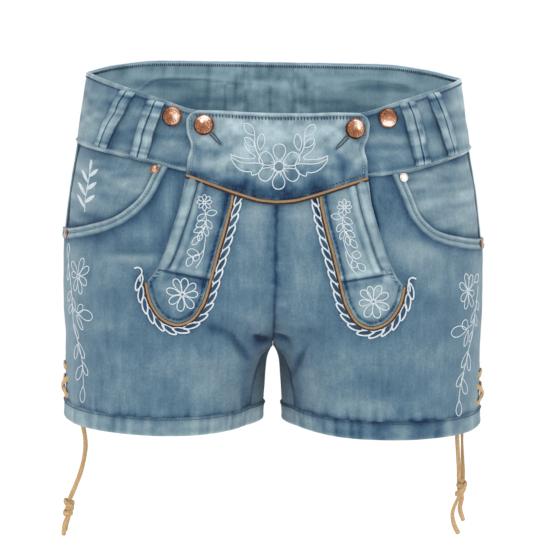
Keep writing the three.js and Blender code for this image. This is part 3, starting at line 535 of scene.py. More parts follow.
def add_camera():
    data = bpy.data.cameras.new("camera")
    camera = bpy.data.objects.new("camera", data)
    scene.collection.objects.link(camera)
    data.lens = data.sensor_width * DISTANCE / SPAN
    offset = Vector((0, -math.cos(ELEVATION), math.sin(ELEVATION))) * DISTANCE
    look_at(camera, TARGET + offset, TARGET, ROLL)
    scene.camera = camera


def add_light(name, place, size, power):
    data = bpy.data.lights.new(name, "AREA")
    data.shape = "DISK"
    data.size = size
    data.energy = power
    light = bpy.data.objects.new(name, data)
    scene.collection.objects.link(light)
    look_at(light, place, TARGET)


add_camera()
for light in LIGHTS:
    add_light(*light)
world = bpy.data.worlds.new("studio")
world.use_nodes = True
background = world.node_tree.nodes["Background"]
background.inputs["Color"].default_value = (1.0, 1.0, 1.0, 1)
background.inputs["Strength"].default_value = 1.0
scene.world = world
scene.view_settings.view_transform = "Standard"


# ---------------------------------------------------------------- materials
def srgb(r, g, b):
    """A linear colour from screen values of 0 to 255."""
    values = []
    for c in (r, g, b):
        c /= 255
        values.append(c / 12.92 if c <= 0.04045 else ((c + 0.055) / 1.055) ** 2.4)
    return (*values, 1)


class Nodes:
    """A material and short ways to add its nodes."""

    def __init__(self, name, **settings):
        self.material = bpy.data.materials.new(name)
        self.material.use_nodes = True
        self.tree = self.material.node_tree
        self.shader = self.tree.nodes["Principled BSDF"]
        for key, value in settings.items():
            self.shader.inputs[key.replace("_", " ")].default_value = value

    def add(self, kind, links=(), **settings):
        node = self.tree.nodes.new(kind)
        for key, value in settings.items():
            setattr(node, key, value)
        for socket, value in links:
            if hasattr(value, "is_output"):
                self.tree.links.new(value, node.inputs[socket])
            else:
                node.inputs[socket].default_value = value
        return node

    def attribute(self, name, output="Fac"):
        return self.add("ShaderNodeAttribute", attribute_name=name).outputs[output]

    def math(self, kind, *values):
        return self.add("ShaderNodeMath", list(enumerate(values)), operation=kind).outputs[0]

    def scaled(self, vector, scale):
        return self.add("ShaderNodeMapping", [("Vector", vector), ("Scale", scale)]).outputs[0]

    def noise(self, vector, scale, detail, roughness=0.55):
        place = self.scaled(vector, scale)
        node = self.add("ShaderNodeTexNoise", [("Vector", place), ("Scale", 1.0), ("Detail", detail),
                                               ("Roughness", roughness)])
        return node.outputs["Fac"]

    def ramp(self, value, stops):
        node = self.add("ShaderNodeValToRGB", [("Fac", value)])
        elements = node.color_ramp.elements
        while len(elements) < len(stops):
            elements.new(0.5)
        for element, (place, colour) in zip(elements, stops):
            element.position = place
            element.color = colour
        return node.outputs["Color"]

    def bump(self, height, distance, strength=1.0):
        node = self.add("ShaderNodeBump", [("Height", height), ("Distance", distance),
                                           ("Strength", strength)])
        self.tree.links.new(node.outputs["Normal"], self.shader.inputs["Normal"])

    def colour(self, output):
        self.tree.links.new(output, self.shader.inputs["Base Color"])


# The stops' places are on a scale of 0 to PALEST, where 1 is worn nearly white. The same places raised by
# BLUER give bluer colours, for the inside of the waistband.
PALEST = 1.4
BLUER = 2.2
INDIGO = [(0.0, srgb(22, 48, 78)), (0.25, srgb(57, 89, 115)), (0.5, srgb(94, 124, 142)),
          (0.75, srgb(134, 157, 166)), (1.0, srgb(168, 190, 198)), (PALEST, srgb(206, 226, 236)),
          (BLUER + 0.5, srgb(84, 122, 145)), (BLUER + 0.75, srgb(122, 156, 171)),
          (BLUER + 1.0, srgb(158, 190, 203)), (BLUER + PALEST, srgb(194, 226, 242))]
INDIGO_END = BLUER + PALEST


WEAVE = 0.05


def denim(name, mottle):
    """Faded denim: its attribute of wash and painted shade, broken up by mottling, yarns and twill, gives a
    place on INDIGO.
    """
    m = Nodes(name, Roughness=0.92, Specular_IOR_Level=0.12, Sheen_Weight=0.12, Sheen_Roughness=0.5)
    cloth = m.attribute("cloth", "Vector")
    cloud = m.noise(cloth, (34, 34, 34), 3)
    mottled = m.noise(cloth, (130, 90, 90), 4)
    warp = m.noise(cloth, (1500, 120, 1), 2)
    weft = m.noise(cloth, (150, 1400, 1), 2)
    twill = m.add("ShaderNodeTexWave", [("Vector", m.scaled(cloth, (700, 520, 1))), ("Scale", 1.0),
                                        ("Distortion", 0.6), ("Detail", 1.0)],
                  bands_direction="DIAGONAL").outputs["Fac"]
    grain = m.noise(cloth, (520, 430, 1), 2, 0.7)
    streaks = m.noise(cloth, (400, 60, 1), 3)
    parts = ((cloud, mottle * 0.7), (mottled, mottle * 1.2), (warp, WEAVE * 1.6), (weft, WEAVE),
             (twill, WEAVE), (grain, 0.28), (streaks, 0.14))
    value = m.math("ADD", m.attribute("wash"), -sum(share for _, share in parts) / 2)
    for part, share in parts:
        value = m.math("MULTIPLY_ADD", part, share, value)
    stops = [(at / INDIGO_END, colour) for at, colour in INDIGO]
    m.colour(m.ramp(m.math("MULTIPLY", value, 1 / INDIGO_END), stops))
    height = m.math("MULTIPLY_ADD", warp, 0.6, m.math("MULTIPLY", twill, 0.5))
    m.bump(height, 0.00035, 0.7)
    return m.material


def thread(name, colour, dark):
    """Cotton thread: fine oblique strands along a tube or a stitch."""
    m = Nodes(name, Roughness=0.65, Specular_IOR_Level=0.25, Sheen_Weight=0.2)
    cloth = m.attribute("cloth", "Vector")
    strands = m.add("ShaderNodeTexWave", [("Vector", m.scaled(cloth, (1300, 1500, 1))), ("Scale", 1.0),
                                          ("Distortion", 0.3)], bands_direction="DIAGONAL").outputs["Fac"]
    worn = m.noise(cloth, (90, 90, 90), 2)
    value = m.math("MULTIPLY_ADD", strands, 0.35, m.math("MULTIPLY", worn, 0.65))
    m.colour(m.ramp(value, [(0.1, dark), (0.62, colour)]))
    m.bump(strands, 0.0002, 0.6)
    return m.material


def suede(name, light, dark):
    """Soft leather, with a nap and longer streaks along it."""
    m = Nodes(name, Roughness=0.88, Specular_IOR_Level=0.2, Sheen_Weight=0.25, Sheen_Roughness=0.4)
    cloth = m.attribute("cloth", "Vector")
    nap = m.noise(cloth, (900, 500, 500), 4)
    long = m.noise(cloth, (40, 900, 900), 3)
    value = m.math("MULTIPLY_ADD", nap, 0.6, m.math("MULTIPLY", long, 0.4))
    m.colour(m.ramp(value, [(0.3, dark), (0.66, light)]))
    m.bump(nap, 0.0003, 0.5)
    return m.material


def metal(name, dark, light, bright):
    """Antique metal: bright on the raised parts and dark in the hollows, with painted highlights and painted
    reflection shade, as its attribute says.
    """
    m = Nodes(name, Metallic=1.0, Roughness=0.3)
    place = m.attribute("cloth", "Vector")
    spots = m.noise(place, (700, 700, 700), 4)
    patina = m.noise(place, (190, 190, 190), 2)
    value = m.math("MULTIPLY_ADD", spots, 0.35, m.math("ADD", m.attribute("wash"), -0.66))
    value = m.math("MULTIPLY_ADD", patina, 0.8, value)
    m.colour(m.ramp(value, [(0.05, dark), (0.5, light), (0.9, bright)]))
    m.bump(spots, 0.00012, 0.35)
    return m.material


DENIM = denim("denim", 0.2)
TRIM = denim("light denim", 0.16)
WHITE = thread("white thread", srgb(240, 247, 251), srgb(176, 194, 207))
PALE = thread("pale blue thread", srgb(176, 194, 206), srgb(112, 136, 156))
NAVY = thread("dark blue thread", srgb(46, 70, 98), srgb(22, 38, 62))
PIPING = suede("tan piping", srgb(178, 146, 110), srgb(128, 96, 66))
# A dark strip beside the piping: the piping's dark flange and its painted shadow.
DARK_FLANGE_AND_SHADOW = suede("dark piping flange and painted shadow", srgb(66, 54, 48), srgb(38, 30, 28))
LACE = suede("suede lace", srgb(220, 187, 140), srgb(160, 122, 80))
COPPER = metal("antique copper", srgb(54, 30, 20), srgb(168, 112, 82), srgb(255, 236, 222))
# The left rivet's near-white metal is a painted highlight.
RIVET_PAINTED_HIGHLIGHT = metal("rivet with painted highlight", srgb(150, 130, 120), srgb(246, 238, 230), srgb(255, 250, 246))


# ---------------------------------------------------------------- floor
FLOOR_Z = -0.62
FLOOR_HALF = 4.0


def add_floor():
    corners = [(-1, -1), (1, -1), (1, 1), (-1, 1)]
    mesh = bpy.data.meshes.new("floor")
    mesh.from_pydata([(x * FLOOR_HALF, y * FLOOR_HALF, FLOOR_Z) for x, y in corners], [], [(0, 1, 2, 3)])
    paper = Nodes("white floor", Base_Color=(0.98, 0.98, 0.98, 1), Roughness=1.0, Specular_IOR_Level=0.0)
    mesh.materials.append(paper.material)
    floor = bpy.data.objects.new("floor", mesh)
    scene.collection.objects.link(floor)


add_floor()


# ---------------------------------------------------------------- meshes
def build(name, points, faces, material, slot, **attributes):
    """A piece from points in millimetres and arrays of faces, turned to face out."""
    points = np.asarray(points, float).reshape(-1, 3)
    volume = 0.0
    for f in faces:
        for i in range(1, f.shape[1] - 1):
            a, b, c = points[f[:, 0]], points[f[:, i]], points[f[:, i + 1]]
            volume += np.einsum("ij,ij->", a, np.cross(b, c))
    if volume < 0:
        faces = [f[:, ::-1] for f in faces]
    mesh = bpy.data.meshes.new(name)
    mesh.vertices.add(len(points))
    mesh.vertices.foreach_set("co", (points * MM).ravel())
    sizes = np.concatenate([np.full(len(f), f.shape[1]) for f in faces])
    corners = np.concatenate([f.ravel() for f in faces])
    mesh.loops.add(len(corners))
    mesh.loops.foreach_set("vertex_index", corners)
    mesh.polygons.add(len(sizes))
    mesh.polygons.foreach_set("loop_start", np.concatenate(([0], np.cumsum(sizes)[:-1])))
    mesh.polygons.foreach_set("use_smooth", np.ones(len(sizes), bool))
    mesh.update(calc_edges=True)
    for key, values in attributes.items():
        values = np.asarray(values, float)
        flat = values.ndim == 1
        layer = mesh.attributes.new(key, "FLOAT" if flat else "FLOAT_VECTOR", "POINT")
        layer.data.foreach_set("value" if flat else "vector", values.ravel())
    mesh.materials.append(material)
    obj = bpy.data.objects.new(name, mesh)
    scene.collection.objects.link(obj)
    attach(obj, "root")
    return obj


def unit(v):
    return v / np.maximum(np.linalg.norm(v, axis=-1, keepdims=True), 1e-9)


def lengths(points):
    """How far along a row of points each one is."""
    steps = np.linalg.norm(np.diff(points, axis=0), axis=-1)
    return np.concatenate((np.zeros((1,) + steps.shape[1:]), np.cumsum(steps, axis=0)))


def resampled(rows, far, at):
    """Rows of points that lie at the distances far, read at other distances."""
    return np.stack([np.interp(at, far, values) for values in rows.T], -1)


def outward_of(path):
    """The way square to a plane path at each of its places, to its right."""
    along = unit(np.gradient(path, axis=0))
    return np.stack([along[:, 1], -along[:, 0]], -1)


GRAIN_LEVEL = -150
GRAIN_S = np.linspace(0, 1, 400)
GRAIN_PLACE = plain(GRAIN_S, GRAIN_LEVEL)
GRAIN_ROUND = np.concatenate(([0], np.cumsum(np.abs(np.diff(GRAIN_PLACE)))))


def grain_of(side, s, x):
    """How far round the body a place is, along threads that run straight down."""
    way = np.where(s < SIDE, 1, -1)
    return side * (way * (x - np.interp(s, GRAIN_S, GRAIN_PLACE.real)) + np.interp(s, GRAIN_S, GRAIN_ROUND))


EDGE_BULGE = 0.35


def layered(layer, side, s, z, lift, under):
    """A layer's outer and inner points, raised by lift and under."""
    low, high = LAYERS[layer]
    return form(side, s, z, high + lift)[0], form(side, s, z, low + under)[0]


def shell(name, outer, inner, wash, material, slot, closed=False, inside=None, edge=0.1, grain=None):
    """Thin cloth between an outer and an inner grid of points, with rounded edges.

    wash and inside are the tones of its two faces, fade and painted shade, edge is what its edge adds, and
    grain is how far round each place is along the cloth.
    """
    rows, cols = outer.shape[:2]
    count = rows * cols
    index = np.arange(count).reshape(rows, cols)
    a = index if closed else index[:, :-1]
    b = np.roll(index, -1, axis=1) if closed else index[:, 1:]
    out_quads = np.stack([a[:-1], b[:-1], b[1:], a[1:]], -1).reshape(-1, 4)
    in_quads = out_quads[:, ::-1] + count
    along = lengths(outer.transpose(1, 0, 2)).T
    across = along - along[:, cols // 2][:, None] if grain is None else grain
    cloth = np.stack([across, -outer[..., 2], np.zeros((rows, cols))], -1).reshape(-1, 3) * MM
    wash = np.broadcast_to(wash, (rows, cols)).ravel()
    inside = wash if inside is None else np.broadcast_to(inside, (rows, cols)).ravel()
    flat_out = outer.reshape(-1, 3)
    flat_in = inner.reshape(-1, 3)
    points = [flat_out, flat_in]
    washes = [wash, inside]
    cloths = [cloth, cloth + 0.01]
    faces = [out_quads, in_quads]
    if closed:
        loops = [index[0], index[-1][::-1]]
    else:
        loops = [np.concatenate((index[0], index[1:, -1], index[-1, -2::-1], index[-2:0:-1, 0]))]
    total = 2 * count
    for loop in loops:
        r = np.clip(loop // cols, 1, rows - 2)
        c = loop % cols if closed else np.clip(loop % cols, 1, cols - 2)
        near = r * cols + c
        away = flat_out[loop] - flat_out[near] + flat_in[loop] - flat_in[near]
        thick = np.linalg.norm(flat_out[loop] - flat_in[loop], axis=-1, keepdims=True)
        points.append((flat_out[loop] + flat_in[loop]) / 2 + unit(away) * thick * EDGE_BULGE)
        washes.append(wash[loop] + edge)
        cloths.append(cloth[loop])
        ring = np.arange(len(loop)) + total
        total += len(loop)
        after = np.roll(ring, -1)
        following = np.roll(loop, -1)
        faces.append(np.stack([following, loop, ring, after], -1))
        faces.append(np.stack([after, ring, loop + count, following + count], -1))
    return build(name, np.concatenate(points), faces, material, slot,
                 wash=np.concatenate(washes), cloth=np.concatenate(cloths))


def smoothed(points, count):
    """A centripetal Catmull-Rom curve through points, as many places as asked."""
    p = np.asarray(points, float)
    p = np.concatenate(([2 * p[0] - p[1]], p, [2 * p[-1] - p[-2]]))
    gaps = np.sqrt(np.maximum(np.linalg.norm(np.diff(p, axis=0), axis=1), 1e-6))
    knots = np.concatenate(([0], np.cumsum(gaps)))
    at = np.linspace(knots[1], knots[-2], count)
    k = np.clip(np.searchsorted(knots, at, side="right") - 1, 1, len(p) - 3)
    t = [knots[k + i][:, None] for i in (-1, 0, 1, 2)]
    here = at[:, None]
    level = [p[k + i] for i in (-1, 0, 1, 2)]

    def between(i, j, a, b):
        return (t[j] - here) / (t[j] - t[i]) * a + (here - t[i]) / (t[j] - t[i]) * b
    level = [between(i, i + 1, level[i], level[i + 1]) for i in range(3)]
    level = [between(i, i + 2, level[i], level[i + 1]) for i in range(2)]
    return between(1, 2, *level)


class Bag:
    """Gathers tubes and stitches into one piece."""

    def __init__(self):
        self.points = []
        self.cloth = []
        self.faces = {}
        self.count = 0

    def take(self, rings, along, around, closed):
        """Rings of points: tubes x rings x corners x 3. along and around say where each is on its cord."""
        tubes, n, k = rings.shape[:3]
        index = np.arange(tubes * n * k).reshape(tubes, n, k) + self.count
        ahead = np.roll(index, -1, axis=1) if closed else index[:, 1:]
        here = index if closed else index[:, :-1]
        beside = np.roll(here, -1, axis=2)
        ahead_beside = np.roll(ahead, -1, axis=2)
        quads = np.stack([here, ahead, ahead_beside, beside], -1).reshape(-1, 4)
        self.faces.setdefault(4, []).append(quads)
        if not closed:
            self.faces.setdefault(k, []).append(index[:, 0, :].reshape(-1, k))
            self.faces.setdefault(k, []).append(index[:, -1, ::-1].reshape(-1, k))
        self.points.append(rings.reshape(-1, 3))
        cloth = np.stack(np.broadcast_arrays(along, around, np.zeros(rings.shape[:3])), -1)
        self.cloth.append(cloth.reshape(-1, 3) * MM)
        self.count += tubes * n * k

    def tube(self, path, normals, radius, flat=1.0, corners=6, closed=False, turn=0.0):
        """One tube along a path; flat is its thickness against its width."""
        path = np.asarray(path, float)
        n = len(path)
        radius = np.broadcast_to(np.asarray(radius, float), n)
        if closed:
            tangent = unit(np.roll(path, -1, axis=0) - np.roll(path, 1, axis=0))
        else:
            tangent = unit(np.gradient(path, axis=0))
            start = path[0] - tangent[0] * radius[0] * 0.45
            end = path[-1] + tangent[-1] * radius[-1] * 0.45
            path = np.concatenate(([start], path, [end]))
            tangent = np.concatenate(([tangent[0]], tangent, [tangent[-1]]))
            normals = np.concatenate(([normals[0]], normals, [normals[-1]]))
            radius = np.concatenate(([radius[0] * 0.55], radius, [radius[-1] * 0.55]))
            if np.ndim(turn):
                turn = np.concatenate(([turn[0]], turn, [turn[-1]]))
        across = unit(np.cross(tangent, normals))
        up = np.cross(across, tangent)
        twist = np.broadcast_to(turn, len(path))[:, None]
        wide = across * np.cos(twist) + up * np.sin(twist)
        thin = up * np.cos(twist) - across * np.sin(twist)
        angle = np.arange(corners) * 2 * math.pi / corners
        rings = (path[:, None] + radius[:, None, None] * (np.cos(angle)[None, :, None] * wide[:, None]
                 + flat * np.sin(angle)[None, :, None] * thin[:, None]))
        along = lengths(path)[:, None]
        self.take(rings[None], along[None], (angle * radius.mean())[None, None], closed)

    def stitches(self, path, normals, pitch=2.8, length=2.1, radius=0.34, lift=0.3, slant=0.0, seed=3):
        """A row of single stitches, each a short bow with its ends in the cloth."""
        path = np.asarray(path, float)
        far = lengths(path)
        count = int(far[-1] / pitch)
        if count < 1:
            return
        wander = np.random.default_rng(seed + count).uniform(-0.12, 0.12, count)
        middle = (np.arange(count) + 0.5 + wander) * far[-1] / count
        length = np.interp(middle / far[-1], np.linspace(0, 1, np.size(length)), np.atleast_1d(length))
        up = unit(resampled(normals, far, middle))
        tangent = unit(resampled(path, far, middle + 0.4) - resampled(path, far, middle - 0.4))
        heading = tangent * math.cos(slant) + unit(np.cross(tangent, up)) * math.sin(slant)
        across = unit(np.cross(heading, up))
        shares = np.array([-0.5, -0.36, 0, 0.36, 0.5])
        bow = np.array([-0.5, 0.55, 1.0, 0.55, -0.5]) * lift
        thick = np.array([0.5, 0.95, 1.0, 0.95, 0.5]) * radius
        ahead = (shares * length[:, None])[..., None]
        centre = (resampled(path, far, middle)[:, None] + heading[:, None] * ahead
                  + up[:, None] * bow[None, :, None])
        angle = np.arange(5) * 2 * math.pi / 5 + 0.3
        rings = centre[:, :, None] + thick[None, :, None, None] * (
            np.cos(angle)[None, None, :, None] * across[:, None, None]
            + np.sin(angle)[None, None, :, None] * up[:, None, None])
        self.take(rings, middle[:, None, None] + ahead, (angle * radius)[None, None], False)

    def piece(self, name, material, slot):
        faces = [np.concatenate(group) for group in self.faces.values()]
        return build(name, np.concatenate(self.points), faces, material, slot,
                     cloth=np.concatenate(self.cloth))


# ---------------------------------------------------------------- side laces
LACE_WIDTH = 3.9
LACE_FLAT = 0.42
LACE_CORNERS = 10
LACE_RINGS = 110
KNOT_RADIUS = 2.2
KNOT_FLAT = 0.5
KNOT_CORE = 1.9
FORWARD = (0.0, -1.0, 0.0)
# Where a lace starts behind the cloth: how far out and how far below the lowest bar.
LACE_BACK = [(-0.8, 0), (-4.5, 0.5)]
# How each lace turns as it hangs: shares of its length, and radians there.
SPINS = {
    ("right", "front"): ([0, 0.12, 0.3, 0.5, 0.7, 1], [0.2, 0.1, -0.35, 0.15, 0.6, 0.1]),
    ("right", "back"): ([0, 0.12, 0.3, 0.5, 0.7, 1], [0.6, 0.5, 1.1, 0.7, 0.2, -0.2]),
    ("left", "front"): ([0, 0.15, 0.35, 0.55, 0.75, 1], [-0.1, 0.1, 0.5, 0.1, 0.6, 0.1]),
    ("left", "back"): ([0, 0.15, 0.35, 0.55, 0.75, 1], [-0.7, -0.5, -1.2, -0.5, 0.1, 0.2]),
}
# Each turn of the knot: from and to which height, radius, slant, where it begins and how many times round.
KNOT_TURNS = [(-6.0, 0.2, 4.0, 0.35, 0.4, 1.15), (0.4, 6.0, 3.8, -0.5, 2.2, 1.2),
              (-3.4, 3.2, 4.6, 0.7, 3.4, 0.62)]


def strand_start(side, end):
    level = LACE_BARS[1][1]
    s = side_seam(level) + end * LACE_BARS[1][2] / stretch(side_seam(level), level)
    return [form(side, s, level - drop, out, False)[0] for out, drop in LACE_BACK]


def hanging_lace(label, side, number, face, end):
    """One lace from the cloth, through the knot, to its free end."""
    route = HANGING[label]
    knot = np.array(route["knot"], float)
    inside = [knot + (end * 0.5, end * -0.5, 3.5), knot + (end * -0.4, end * 0.5, -4)]
    points = np.array([*strand_start(side, end), *route[face], *inside, *route["tails"][number]])
    path = smoothed(points, LACE_RINGS)
    shares = np.linspace(0, 1, LACE_RINGS)
    width = LACE_WIDTH / 2 * (1 + 0.06 * noise1(shares * 14, 11 + side + 3 * end))
    width *= np.interp(shares, [0, 0.06, 1], [0.8, 1, 1])
    bag = Bag()
    bag.tube(path, np.broadcast_to(FORWARD, path.shape), width, LACE_FLAT, LACE_CORNERS,
             turn=np.interp(shares, *SPINS[label, face]))
    lace = bag.piece(f"lace_{face}_end_{label}", LACE, "suede")
    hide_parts(f"lace_{face}_{label}", f"lace_tail_{label}_{number + 1}")
    return lace, path


def lace_knot(label, side):
    """The two laces tied together: two turns round, the upper one slanting over."""
    middle = np.array(HANGING[label]["knot"], float)
    bag = Bag()
    t = np.linspace(0, 1, 46)
    for low, high, radius, tilt, begin, turns in KNOT_TURNS:
        angle = begin + side * turns * 2 * math.pi * t
        reach = radius * np.sin(math.pi * t) ** 0.3
        height = lerp(low, high, t) + tilt * reach * np.cos(angle)
        path = middle + np.stack([reach * np.cos(angle), reach * np.sin(angle), height], -1)
        out = unit(np.stack([np.cos(angle), np.sin(angle), 0 * angle], -1))
        bag.tube(path, out, KNOT_RADIUS, KNOT_FLAT, LACE_CORNERS)
    t = np.linspace(-1, 1, 12)
    core = middle + np.stack([0.5 * np.sin(1.5 * (t + 1)), 0 * t, 7.4 * t], -1)
    bag.tube(core, np.broadcast_to(FORWARD, core.shape), KNOT_CORE * (2 - np.abs(t)), 0.9, LACE_CORNERS)
    knot = bag.piece(f"knot_{label}", LACE, "suede")
    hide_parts(f"lace_knot_{label}")
    return knot


for label, side in HALVES:
    knot = lace_knot(label, side)
    for number, (face, end) in enumerate((("front", -1), ("back", 1))):
        lace, path = hanging_lace(label, side, number, face, end)
        lengths(path)[-1] * MM


STRAP_LIFT = 0.42
STRAP_HALF = 2.5
STRAP_FLAT = 0.36
STRAP_REACH = 6.0
STRAP_PLACES = 30
STRAP_RINGS = 44
STRAP_SUNK = -1.2


def lace_bar(label, side, name, front_z, front_off, back_z, back_off, lift):
    """A lace across the slit, with its ends in the cloth; offs are from the side seam."""
    t = np.linspace(-0.04, 1.04, STRAP_PLACES)
    z = lerp(front_z, back_z, t)
    s = side_seam(z) + lerp(-front_off - STRAP_REACH, back_off, t) / stretch(side_seam(z), z)
    rest = LAYERS["panel"][1] + 0.9
    out = rest + (lift - rest) * STRAP_LIFT * np.sin(math.pi * np.clip(t, 0, 1)) ** 0.8
    out = np.where((t < 0) | (t > 1), STRAP_SUNK, out)
    path, normals = form(side, s, z, out, False)
    shares = np.linspace(0, 1, STRAP_RINGS)
    normals = unit(resampled(normals, np.linspace(0, 1, STRAP_PLACES), shares))
    bag = Bag()
    bag.tube(smoothed(path[::2], STRAP_RINGS), normals,
             STRAP_HALF * (1 + 0.07 * noise1(shares * 6, 31 + len(name))), STRAP_FLAT, LACE_CORNERS,
             turn=0.25 * noise1(shares * 3, 7 + len(name) + side))
    strap = bag.piece(f"{name}_strap_{label}", LACE, "suede")
    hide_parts(f"{name}_{label}")


for label, side in HALVES:
    for bar in LACE_BARS:
        lace_bar(label, side, *bar)


# ---------------------------------------------------------------- fade and painted shade: where the denim is dark or light
# Each value is a place on INDIGO: 0 is unwashed, 1 is worn nearly white.
NEAR_AT_ONCE = 40


def near_line(u, z, line, spacing=1.0):
    """Distance in millimetres from each place to a line, and how far along it the nearest point is."""
    line = np.asarray(line, float)
    far = lengths(line)
    at = np.arange(0, far[-1], spacing)
    x = np.interp(at, far, line[:, 0])
    y = np.interp(at, far, line[:, 1])
    shape = np.broadcast(u, z).shape
    u = np.broadcast_to(u, shape).ravel()
    z = np.broadcast_to(z, shape).ravel()
    best = np.full(u.shape, 1e9)
    place = np.zeros(u.shape)
    for k in range(0, len(at), NEAR_AT_ONCE):
        part = slice(k, k + NEAR_AT_ONCE)
        d = np.hypot(u[:, None] - x[None, part], z[:, None] - y[None, part])
        least = d.argmin(1)
        value = d[np.arange(len(u)), least]
        closer = value < best
        best = np.where(closer, value, best)
        place = np.where(closer, at[part][least], place)
    return best.reshape(shape), place.reshape(shape)


# Soft light and dark patches on each face, the dark ones at the crotch, in front and behind, painted shade:
# x, z, half width, half height, value.
PATCHES = {
    "front": [
        (-20, -112, 16, 14, 0.19), (22, -112, 17, 13, 0.26), (0, -106, 5, 12, -0.16),
        (-22, -150, 14, 22, 0.10), (24, -160, 14, 26, 0.10), (-26, -196, 16, 12, 0.04),
        (-100, -110, 10, 26, -0.04), (-92, -100, 5, 18, 0.14), (96, -104, 6, 16, -0.10),
        (-132, -152, 24, 9, 0.04), (-120, -138, 30, 7, -0.12), (-156, -196, 16, 40, 0.07),
        (118, -140, 26, 12, 0.14), (134, -170, 26, 12, 0.07), (112, -150, 12, 12, 0.06),
        (-84, -222, 40, 10, -0.05), (-108, -246, 44, 16, 0.05), (-52, -262, 22, 14, 0.13),
        (-128, -272, 26, 8, 0.05), (62, -272, 30, 9, 0.14), (116, -236, 34, 14, 0.04),
        (90, -256, 30, 12, -0.05), (150, -238, 16, 24, 0.05), (34, -262, 8, 16, 0.10),
        (-24, -252, 5, 24, -0.10), (22, -252, 5, 24, -0.10), (-10, -221, 8, 6, -0.4),
        (8, -218, 7, 5, -0.22), (-44, -216, 16, 7, 0.03), (40, -216, 18, 8, 0.03),
        (-62, -240, 26, 12, 0.05), (60, -238, 22, 14, 0.03), (-122, -152, 22, 5, 0.14),
        (-150, -158, 14, 8, 0.08), (-107, -134, 7, 9, 0.12), (-167, -149, 8, 10, 0.10),
        (112, -151, 28, 10, 0.10), (88, -122, 8, 16, 0.06), (100, -138, 10, 9, 0.06)],
    "back": [
        (-60, -110, 46, 24, 0.10), (64, -112, 44, 24, 0.10), (-90, -160, 50, 20, 0.12),
        (88, -158, 48, 22, 0.12), (-100, -232, 44, 18, 0.06), (96, -236, 46, 18, 0.06),
        (-20, -200, 16, 20, -0.14), (22, -202, 16, 20, -0.14), (-150, -110, 20, 30, -0.06),
        (150, -112, 20, 30, -0.06), (-60, -270, 40, 8, 0.08), (70, -272, 40, 8, 0.08)],
}


def patches(side, s, x, z):
    total = np.zeros(np.broadcast(s, x, z).shape)
    for there, (px, pz, wide, high, value) in on_faces(PATCHES, s):
        total += np.where(there, value * spot(side * x, z, px, pz, wide, high), 0)
    return total


def crease_wear_and_shade(side, s, x, z):
    """Ridges rub paler, and troughs are darker: dye kept there and painted shade."""
    return fold_depth(CREASES, side, s, x, z) * 0.07 + fold_depth(FOLDS, side, s, x, z) * 0.02


def puckers(along, away, seed, reach=8.0, cell=4.5):
    """Ripples square to a seam, from -1 to 1, that fade with distance from it."""
    wave = noise1(along / cell, seed) + 0.5 * noise1(along / (cell * 0.45), seed + 1)
    return wave * fade(away, reach)


# ---------------------------------------------------------------- cut sizes
# Width and length in millimetres and area in square millimetres of what shows of each piece, laid flat.
CUT = {
    "front": (308, 309, 45400), "back": (338, 325, 62900), "facing": (175, 88, 9200),
    "binding": (10.5, 180, 1710), "band": (901, 66, 52200), "hem": (584, 15.6, 8540),
    "flap": (159, 72.5, 9730), "tab": (50.5, 149.7, 5470), "pleat": (10, 81, 700), "loop": (17, 56, 920),
}


# Rows and columns of points in each cloth; a panel's rows are so many millimetres apart instead.
GRID = {
    "front": (1.9, 122), "back": (2.4, 112), "facing": (40, 84), "binding": (130, 19), "band": (38, 186),
    "hem": (14, 250), "flap": (66, 118), "tab": (112, 56), "pleat": (60, 15), "loop": (66, 31),
}


def grid_shares(kind):
    """Shares from 0 to 1 down a cloth's rows and across its columns."""
    rows, columns = GRID[kind]
    return np.linspace(0, 1, rows)[:, None], np.linspace(0, 1, columns)[None]


def sewn(name, node, kind, held, under, points, wash, material, slot, **more):
    """A sheet of cloth in place of a CAD node, which it hides."""
    piece = shell(name, *points, wash, material, slot, **more)
    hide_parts(node)
    width, length, area = CUT[kind]


# ---------------------------------------------------------------- panels
# Heights of the rows at the centre seam, down the inside leg and at the side seam, and x along the pocket.
CENTRE_ROWS = [-94, -107, -121, -135, -150, -165, -184, -200, -212, -222, -228, -231.2, -232]
LEG_ROWS = [-240, -252, -268]
SIDE_ROWS = [-155, -175, -198, -222, -243, -254, -270]
SCOOP_ROWS = [106, 113, 122, 134, 147, 158, 167, 173]
SCOOP_ROW_DROP = 8
ROW_BEND = 2.2
OFF_SEAM = 0.0001
HEM_GATHER = 1.2
BRAID_OUT = 2.0
BRAID = [(32.4, -94), (38.4, -121), (45, -145), (50.6, -166), (55, -182), (58.4, -190.4), (63, -197.6),
         (69, -203), (75.4, -206.6), (81.5, -207.8), (88, -206.6), (94.6, -202.8), (100.8, -196.6),
         (105.8, -188.6), (109, -180), (110.4, -172), (110.2, -166)]
BRAID_CURVE = smoothed(BRAID, 200)
BRAID_PATH = BRAID_CURVE + BRAID_OUT * outward_of(BRAID_CURVE)
DARK_EDGE = BRAID + [(u, z) for u, z in zip(TAB["outer"], TAB["z"]) if z > -160][::-1]


def panel_top(side, s):
    return band_seam(side, s) - BAND_GAP


def panel_bottom(s):
    return hem_seam(s) + SEAM_GAP


def share_down(side, s, z):
    """How far down its panel a place is: 0 at the waistband, 1 at the hem."""
    return (panel_top(side, s) - z) / (panel_top(side, s) - panel_bottom(s))


def panel_rows(side, t, first, last, share_first, share_last, least_s):
    """Places across a panel, from the s and the share down of each row's first end to its last."""
    s = lerp(first[:, None], last[:, None], t[None])
    share = lerp(share_first[:, None], share_last[:, None], t[None] ** ROW_BEND)
    there = np.maximum(s, least_s)
    return s, lerp(panel_top(side, there), panel_bottom(there), share)


def dense(gaps, spacing):
    """Real row numbers through rows that lie gaps apart, one about every spacing millimetres."""
    rows = [0.0]
    for k, gap in enumerate(gaps):
        steps = max(1, int(math.ceil(gap / spacing)))
        rows += [k + (j + 1) / steps for j in range(steps)]
    return np.array(rows)


